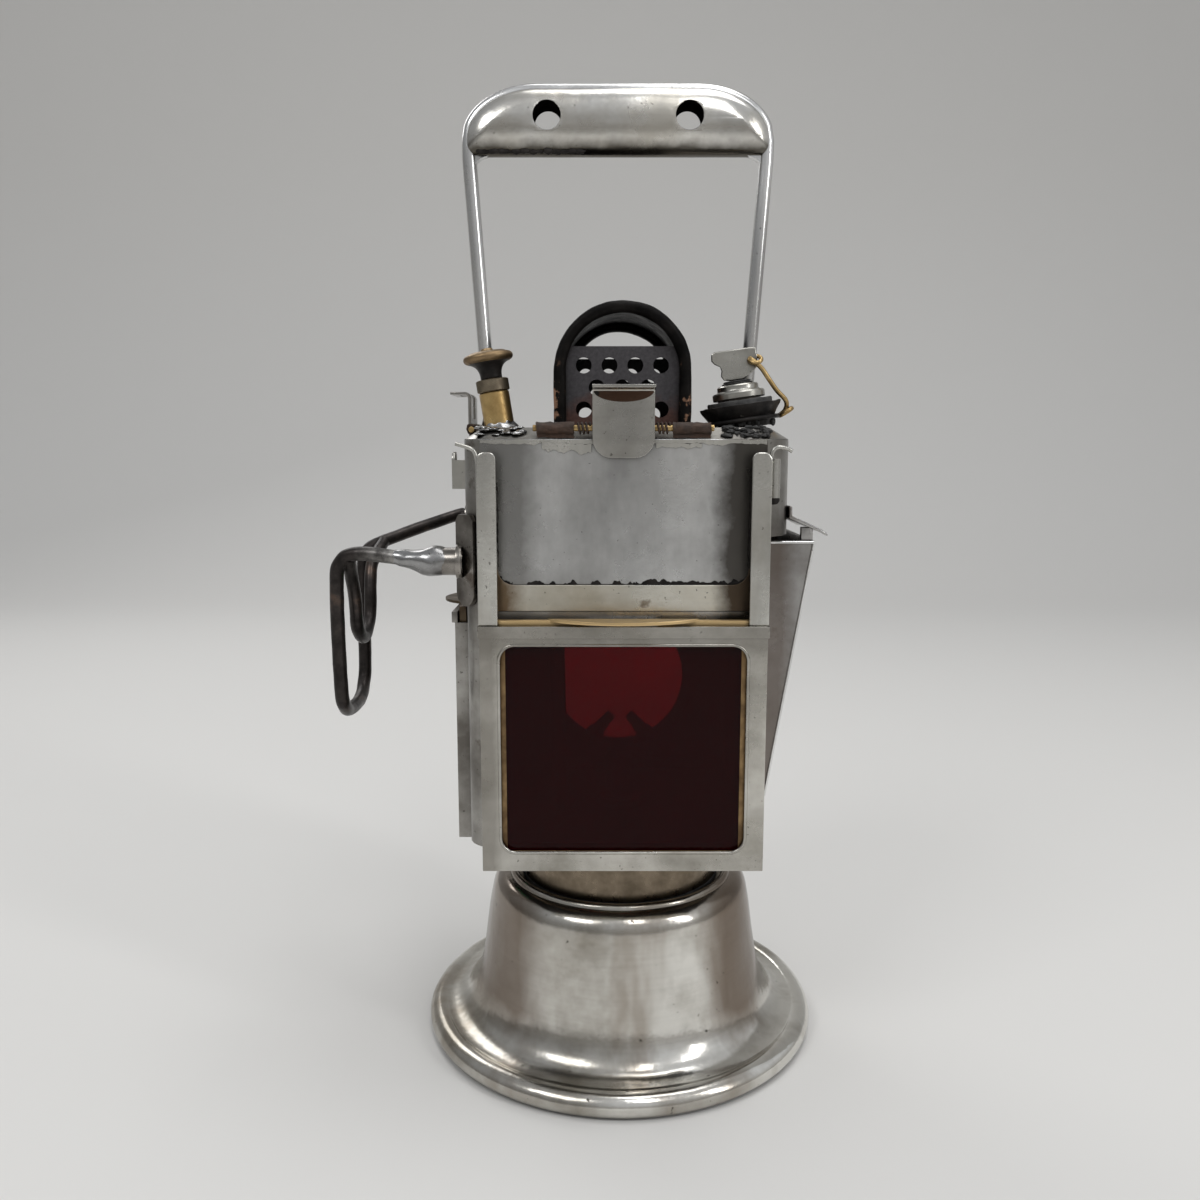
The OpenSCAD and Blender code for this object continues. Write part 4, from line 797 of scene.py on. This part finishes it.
def makeHook():
    bm = bmesh.new()
    sweep(bm, smoothPath(hookLook["outer"], 8), hookLook["wire"], 20)
    sweep(bm, smoothPath(hookLook["tongue"], 8), hookLook["wire"] - 0.1, 20)
    roughen(bm, 0.14, 5, 2)
    keepPiece(bm, "hookBar", "hook", "belt_hook", smoothAngle=50)
    bm = bmesh.new()  # solder run from the front boss along the arm
    taper = smoothPath([(x, r, 0) for x, r in hookLook["solder"]], 5)
    (x, y, z), (leanY, leanZ) = hookLook["outer"][2], hookLook["lean"]  # straight up to x, then leaning
    path = [(p.x, y + leanY * max(x - p.x, 0), z + leanZ * max(x - p.x, 0)) for p in taper]
    sweep(bm, path, [p.y for p in taper], 24)
    roughen(bm, 0.4, 4, 7)
    keepPiece(bm, "hookSolder", "runSolder", smoothAngle=60)


makeHook()
print("hook made")

# water valve and filler, each in its own leaning frame

def leaning(foot, lean):
    return Matrix.Translation([v * mm for v in foot]) @ Matrix.Rotation(radians(lean), 4, "Y")


valveFrame = leaning((-40, -20, 214), -9)
fillerFrame = leaning((39.6, -20, 214), -8)
valveLook = {
    "bodyR": 4.9, "bore": 2.05, "glandZ": 12, "glandH": 4, "knurlZ": 0.3, "knurlH": 3.4, "knurl": 0.36, "teeth": 34,
    "rows": 4, "coneZ": 16.3, "coneH": 5.18, "knobZ": 21.5, "knobR": 8.15, "beadR": 1.35,
    "solder": [(4.9, 2.6), (5.4, 1.4), (6.2, 0.6), (6.6, -0.4), (4.0, -0.4), (4.0, 2.6)],
}


def makeValve():
    glandZ, coneZ, knobZ, bodyR, bore = (valveLook[k] for k in ("glandZ", "coneZ", "knobZ", "bodyR", "bore"))
    profile = [(bore, -0.6), (bodyR, -0.6), (bodyR, glandZ - 0.5), (bodyR - 0.4, glandZ), (bore, glandZ)]
    keepPiece(lathe(profile, 48, valveFrame), "valveBarrel", "brightBrass", "valve_body")
    bm = lathe(valveLook["solder"], 40, valveFrame)
    divide(bm, 1.5)
    roughen(bm, 0.5, 2.5, 4)
    keepPiece(bm, "valveSolder", "solder", smoothAngle=60)
    teeth, r, steps = valveLook["teeth"], bodyR + 0.42, 2 * valveLook["rows"]
    tall, low, high = valveLook["glandH"], valveLook["knurlZ"], valveLook["knurlH"]
    profile = [(bore, glandZ), (r - 0.5, glandZ + 0.02)]
    profile += [(r, glandZ + low + high * i / steps) for i in range(steps + 1)]
    profile += [(r - 0.5, glandZ + tall - 0.02), (bore, glandZ + tall)]
    bm = lathe(profile, 2 * teeth)
    for vert in bm.verts:  # crossed knurl
        if hypot(vert.co.x, vert.co.y) > (r - 0.1) * mm:
            turn = round(atan2(vert.co.y, vert.co.x) / pi * teeth)
            row = round((vert.co.z / mm - glandZ - low) / high * steps)
            if (turn + row) % 2:
                vert.co.x *= 1 - valveLook["knurl"] / r
                vert.co.y *= 1 - valveLook["knurl"] / r
    moveAll(bm, valveFrame)
    keepPiece(bm, "knurledGland", "greyBrass", "valve_gland", smoothAngle=12)
    top = coneZ + valveLook["coneH"]
    profile = [(bore, coneZ), (3.4, coneZ)]
    profile += bezier([(3.5, coneZ + 0.1), (3.5, coneZ + 3), (4.4, coneZ + 4.4), (6.7, top)], 10) + [(bore, top)]
    keepPiece(lathe(profile, 48, valveFrame), "valveTrumpet", "blackPaint", "valve_cone")
    r, bead = valveLook["knobR"], valveLook["beadR"]
    profile = [(0, knobZ), (r - 1.2, knobZ)] + arc(r - bead, knobZ + bead + 0.1, bead, -80, 80, 8)
    profile += [(r - 1.8, knobZ + 2.9), (r - 2.4, knobZ + 3.3)]
    profile += [(2.2, knobZ + 3.6), (1.8, knobZ + 4.4), (0, knobZ + 4.5)]
    keepPiece(lathe(profile, 64, valveFrame), "valveDisc", "dullBrass", "valve_knob")


fillerLook = {
    "bore": 7.05, "lowR": 9.2, "topR": 13.4, "height": 7.8, "capZ": 9.6, "wingT": 1.2,
    "wing": [(-7.3, 24.9), (-7.5, 22.8), (-6.6, 21.6), (-4.9, 20.6), (-4.6, 19.2), (-5.0, 17.6), (-4.2, 16.2),
             (-2.2, 15.7), (2.2, 15.7), (5.4, 17.6), (7.3, 19.4), (7.5, 22.6), (7.3, 25.3), (5.6, 25.6), (-6.2, 25.6)],
    "sealR": (7.1, 10.6), "sealH": 1.45,
    "cap": [(0, -7.6), (6.98, -7.6), (6.98, 0), (8.3, 0), (8.5, 0.3), (8.5, 1.9), (8.1, 2.4), (7.2, 2.5), (6.9, 2.7),
            (6.7, 3.1), (6.7, 4.2), (6.3, 4.6), (0, 4.6)],
    "washer": [(0, 4.6), (4.6, 4.6), (5, 4.9), (5, 5.2), (4.4, 5.4), (4.5, 5.7), (4.1, 5.95), (0, 5.95)],
    "crumbs": {"count": 17, "turn": 2.399, "out": 0.8, "sway": 0.9, "size": 1.2, "vary": 0.5, "z": 1.4, "hop": 0.6},
}


def makeFiller():
    bore, lowR, topR, height, capZ = (fillerLook[k] for k in ("bore", "lowR", "topR", "height", "capZ"))
    profile = [(bore, 0), (lowR, 0), (lowR + 0.1, 1), (topR - 1.4, height - 3), (topR - 0.3, height - 1.2),
               (topR, height - 0.3), (topR - 0.4, height), (topR - 1.6, height - 0.9), (bore, height - 0.9)]
    bm = lathe(profile, 72, fillerFrame)
    divide(bm, 2)
    roughen(bm, 0.3, 3, 2)
    keepPiece(bm, "fillerCup", "blackPaint", "filler_neck", smoothAngle=60)
    look = fillerLook["crumbs"]
    bm = bmesh.new()
    for i in range(look["count"]):  # crumbs of old sealing under the cup
        turn = i * look["turn"]
        reach = lowR + look["out"] + look["sway"] * sin(i * 1.7)
        size = look["size"] + look["vary"] * sin(i * 2.3)
        place = (reach * cos(turn), reach * sin(turn), look["z"] + look["hop"] * sin(i))
        blob(bm, place, (size, size, 1.3 * size), 0.5, i)
    moveAll(bm, fillerFrame)
    keepPiece(bm, "sealCrumbs", "rubber", smoothAngle=60)
    (inner, outer), low, high = fillerLook["sealR"], height - 0.9, height + fillerLook["sealH"]
    profile = [(inner, low), (outer, low), (outer + 0.1, height + 1), (outer - 0.4, high), (inner, high)]
    bm = lathe(profile, 60, fillerFrame)
    roughen(bm, 0.25, 2, 9)
    keepPiece(bm, "fillerSeal", "rubber", "filler_gasket", smoothAngle=60)
    bm = lathe([(r, capZ + z) for r, z in fillerLook["cap"]], 64, fillerFrame)
    keepPiece(bm, "capTurned", "cap", "filler_cap", smoothAngle=30)
    bm = lathe([(r, capZ + z) for r, z in fillerLook["washer"]], 40, fillerFrame)
    keepPiece(bm, "capWashers", "rubber", "cap_washer")
    bm = slab(bmesh.new(), fillerLook["wing"], -fillerLook["wingT"] / 2, fillerLook["wingT"])
    roundEdges(bm, 0.4, 3, 60)
    moveAll(bm, fillerFrame)
    keepPiece(bm, "wingPlate", "cap", "cap_wing", smoothAngle=40)


grimeLook = {  # on the tank's sloping front edge
    "edgeY": 43, "cornerX": 36.5, "cornerR": 17, "z": 210.4, "rise": 0.6, "riseTo": 6,
    "edgeCrumbs": {  # black, in front of the filler
        "finish": "rubber", "count": 38, "x": 31, "wide": 14, "bunch": 0.8, "in": 1.6, "deep": 5, "size": 0.75,
        "vary": 0.5, "rates": (12.9, 4.7, 2.1), "shape": (1.5, 1, 0.7), "rough": 0.5, "turn": 40},
    "edgeSolder": {  # flat, in front of the valve
        "finish": "runSolder", "count": 14, "x": -44.5, "wide": 13, "bunch": 1, "in": 2.2, "deep": 4.5, "size": 0.9,
        "vary": 0.35, "rates": (7.3, 3.9, 1.7), "shape": (2.1, 1.5, 0.55), "rough": 0.25, "turn": 35},
}


def makeGrime(name):
    look, middle, r = grimeLook[name], grimeLook["cornerX"], grimeLook["cornerR"]
    bm = bmesh.new()
    for i in range(look["count"]):
        across, inwards, swell = (sin(rate * i) for rate in look["rates"])
        x = look["x"] + look["wide"] * (0.5 + 0.5 * across) ** look["bunch"]
        inwards = look["in"] + look["deep"] * (0.5 + 0.5 * inwards)
        edge = grimeLook["edgeY"]
        if x >= middle:  # the tank's corner is round
            edge += sqrt(r ** 2 - (x - middle) ** 2) - r
        size = look["size"] + look["vary"] * swell
        z = grimeLook["z"] + grimeLook["rise"] * min(inwards, grimeLook["riseTo"])
        blob(bm, (x, inwards - edge, z), [share * size for share in look["shape"]], look["rough"], i, look["turn"] * i)
    keepPiece(bm, name, look["finish"], smoothAngle=60)


makeValve()
makeFiller()
makeGrime("edgeCrumbs")
makeGrime("edgeSolder")
print("valve and filler made")

# torn black paint and solder on the front

flakeLook = {  # start, end, width, tear, and for solder also place, thickness, seed and steps
    "thick": 0.12, "proud": -43.82,
    "paint": [
        ((38.4, 165.5), (4, 165.5), 1.6, 1.7), ((4, 165.5), (-30, 165.5), 0.8, 2.2),
        ((-34.5, 165.6), (-38.4, 165.9), 1.6, 1.4), ((-38.2, 166.0), (-42.0, 170.4), 1.8, 1.6),
        ((42.0, 170.4), (38.2, 165.7), 2.0, 1.2), ((-38.9, 197.0), (-38.9, 171.0), 0.3, 0.9),
        ((38.9, 171.0), (38.9, 199.0), 0.25, 0.7),
    ],
    "solder": [
        ((-44, 209.5), (44, 209.5), 1.3, 0.7, -43.84, 0.25, 8.3, 90),
        ((-25, 208.2), (-9.9, 207.4), 2.4, 1.3, -43.9, 0.35, 2.7, 40),
        ((10, 208.6), (24, 208.4), 1.2, 0.9, -43.9, 0.3, 5.1, 40),
    ],
}


def makeFlakes():
    bm, y = bmesh.new(), flakeLook["proud"]
    for i, ((x0, z0), (x1, z1), width, tear) in enumerate(flakeLook["paint"]):
        raggedStrip(bm, (x0, y, z0), (x1, y, z1), width, flakeLook["thick"], tear, i * 3.1)
    keepPiece(bm, "paintFlakes", "flake", smoothAngle=20)
    bm = bmesh.new()
    for (x0, z0), (x1, z1), width, tear, y, thick, seed, steps in flakeLook["solder"]:
        raggedStrip(bm, (x0, y, z0), (x1, y, z1), width, thick, tear, seed, steps)
    keepPiece(bm, "seamSolder", "rail", smoothAngle=20)


makeFlakes()
print("flakes made")

# rails with their wires and keeper

railLook = {
    "inside": 44.6, "top": 206.4, "wire": 0.62, "keeper": (46.5, -43.9), "keeperR": 1.75, "plug": (1.7, 1.7, 1.5),
    "stops": ([(-44.4, -48, 203), (-45.2, -48, 206.4), (-47, -48, 207.7), (-51, -48, 208.9)],
              [(44.4, -48, 203), (45.2, -48, 206.8), (47, -48, 207.9), (49.6, -48, 207.4), (51, -48, 206.6)]),
}


def makeRails():
    bm = copyNode("front_rails")
    ends = [v for v in bm.verts if abs(v.co.x) > railLook["inside"] * mm]  # the straight stops
    bmesh.ops.delete(bm, geom=ends, context="VERTS")
    bmesh.ops.holes_fill(bm, edges=[e for e in bm.edges if e.is_boundary], sides=0)
    bmesh.ops.recalc_face_normals(bm, faces=bm.faces)
    roundEdges(bm, 0.35)
    keepPiece(bm, "railPair", "rail", "front_rails")
    bm = bmesh.new()
    for stop in railLook["stops"]:
        sweep(bm, smoothPath(stop, 6), railLook["wire"], 12)
    keepPiece(bm, "stopWires", "rail")
    (x, y), top = railLook["keeper"], railLook["top"]
    bm = sweep(bmesh.new(), [(x, y, top - 2 - 0.6 * i) for i in range(21)], railLook["keeperR"], 24)
    keepPiece(bm, "keeperTube", "rail")
    keepPiece(blob(bmesh.new(), (x, y, top - 14.6), railLook["plug"], 0.1, 3), "keeperPlug", "flake")


makeRails()

# duct

ductLook = {
    "hems": [((45, -30.05, 177.5), 1.7, 0, 0.55), ((62.0, -29.95, 177.3), -1.43, -8.5, 0.5)],  # start, steps, radius
    "bentFrom": 57, "bentOver": 9, "bent": 0.8, "wave": 14,
}


def makeDuctHem():
    bm = bmesh.new()
    for (x, y, z), stepX, stepZ, r in ductLook["hems"]:
        sweep(bm, [(x + stepX * i, y, z + stepZ * i) for i in range(11)], r, 12)
    keepPiece(bm, "ductHem", "rod")
    bm = copyNode("air_duct_roof")
    roundEdges(bm, 0.25)
    divide(bm, 4)
    for vert in bm.verts:  # the outer edge is bent
        out = max(vert.co.x / mm - ductLook["bentFrom"], 0) / ductLook["bentOver"]
        wave = noise.noise(Vector((vert.co.y / mm / ductLook["wave"], 3.1, 0))) - 0.5
        vert.co.z += out * out * ductLook["bent"] * mm * wave
    keepPiece(bm, "bentRoof", "duct", "air_duct_roof", smoothAngle=50)


makeDuctHem()

# rolled lip of the red window

windowLook = {"half": 38.5, "low": 81, "high": 147.7, "corner": 5, "roll": 0.55, "face": -52.05}


def makeWindowLip():
    half, low, high, r = (windowLook[k] for k in ("half", "low", "high", "corner"))
    line, side = [], half - r
    for x, z, start in ((side, high - r, 0), (-side, high - r, 90), (-side, low + r, 180), (side, low + r, 270)):
        line += arc(x, z, r, start, start + 90, 8)
    bm = sweep(bmesh.new(), [(x, windowLook["face"], z) for x, z in line + line[:2]], windowLook["roll"], 12)
    keepPiece(bm, "windowLip", "bezel", smoothAngle=60)


makeWindowLip()

# catches

lipLook = {"wide": 9.2, "tall": 3.4, "z": 224.9, "y": -45.56, "thick": -0.1}


def makeCatchLip():  # painted shade under the lip, brown with patina
    turns = [radians(180 + 9 * i) for i in range(21)]
    line = [(lipLook["wide"] * cos(a), lipLook["z"] + lipLook["tall"] * sin(a)) for a in turns]
    keepPiece(slab(bmesh.new(), line, lipLook["y"], lipLook["thick"]), "lipHollow", "patinaAndShade", body="front_catch")


makeCatchLip()
hingeLook = {"split": 1.6, "lumps": 0.5, "lumpSize": 2.4, "grit": 0.25, "gritSize": 0.9}
for seed, node in enumerate(("front_catch_hinge", "side_catch_hinge")):
    weatherNode(node, node + "_rolled", "rustWire", hingeLook, seed, 50)

# link from the cap's wing to the neck

linkLook = {
    "wire": 0.78, "ringR": 11.9, "ringZ": 2.6, "ringWire": 0.7,
    "path": [(4.7, 1.9, 22.7), (4.9, 0, 21.8), (5.6, -1.9, 21.2), (8.0, -2.4, 18.4), (10.0, -2.4, 14.6),
             (12.2, -2.1, 10.6), (14.6, -1.3, 7.6), (15.1, -0.6, 5.6), (14.3, 0, 3.8), (12.6, 0, 2.7)],
    "eyes": [((6.6, -1.2, 21.4), (1.9, 0, 0), (0, 1.6, 1.2), 0.7),  # centre, two half axes, wire
             ((14.4, -1.4, 3.4), (2.0, 0, 0.9), (0, 2.0, 0), 0.75)],
}


def makeLink():
    bm = sweep(bmesh.new(), smoothPath(linkLook["path"], 5), linkLook["wire"], 14)
    turns = [radians(15 * i) for i in range(25)]
    for centre, one, other, r in linkLook["eyes"]:
        eye = [[c + u * cos(a) + v * sin(a) for c, u, v in zip(centre, one, other)] for a in turns]
        sweep(bm, eye, r, 12)
    moveAll(bm, fillerFrame)
    keepPiece(bm, "linkWire", "brass", "cap_link")
    ring = arc(0, 0, linkLook["ringR"], 0, 360, 48)
    bm = sweep(bmesh.new(), [(x, y, linkLook["ringZ"]) for x, y in ring], linkLook["ringWire"], 12)
    moveAll(bm, fillerFrame)
    keepPiece(bm, "neckRing", "blackPaint", body="filler_plug")


makeLink()
print("small pieces made")

# the other nodes keep their solids, with rounded edges and a finish
dressing = {
    "nickel": {"base_bottom": 0.4, "handle_feet": 0.2},
    "collar": {"base_neck": 0.3, "neck_collar": 0.3},
    "casing": {"casing": 0.25, "rear_door": 0.35},
    "tank": {"water_tank": 0.3, "tank_top": 0.5, "side_plate": 0.25, "side_case": 0.3, "side_catch": 0.25,
             "carbide_tin": 0.2, "tin_lid": 0.2, "door_hinge": 0.25},
    "duct": {"air_duct": 0.3},
    "plate": {"front_plate": 0.25},
    "catch": {"front_catch": 0.25},
    "strap": {"hook_brackets": 0.4},
    "bezel": {"front_case": 0.35},
    "rail": {"side_clips": 0.3},
    "lintel": {"lintel_strip": 0.25},
    "dullBrass": {"burner": 0.3, "drip_pipe": 0},
    "frameBrass": {"red_frame": 0.25},
    "darkBrass": {"green_frame": 0.25},
    "brass": {"valve_needle": 0, "front_catch_pin": 0.2, "side_catch_pin": 0.2},
    "soot": {"flue_liner": 0.2, "casing_floor": 0.2},
    "rust": {"front_vent_plate": 0.2, "rear_vent_plate": 0.2},
    "rustWire": {"front_catch_springs": 0, "side_catch_springs": 0},
    "rubber": {"base_gasket": 0.3},
    "red": {"red_glass": 0.15},
    "green": {"green_glass": 0.15},
    "clear": {"rear_lens": 0.2},
    "pane": {"front_pane": 0.15, "side_pane": 0.15},
    "ceramic": {"burner_tips": 0.2},
}
for finish, nodes in dressing.items():
    for node, edge in nodes.items():
        dressNode(node, finish, edge)
print("nodes dressed")
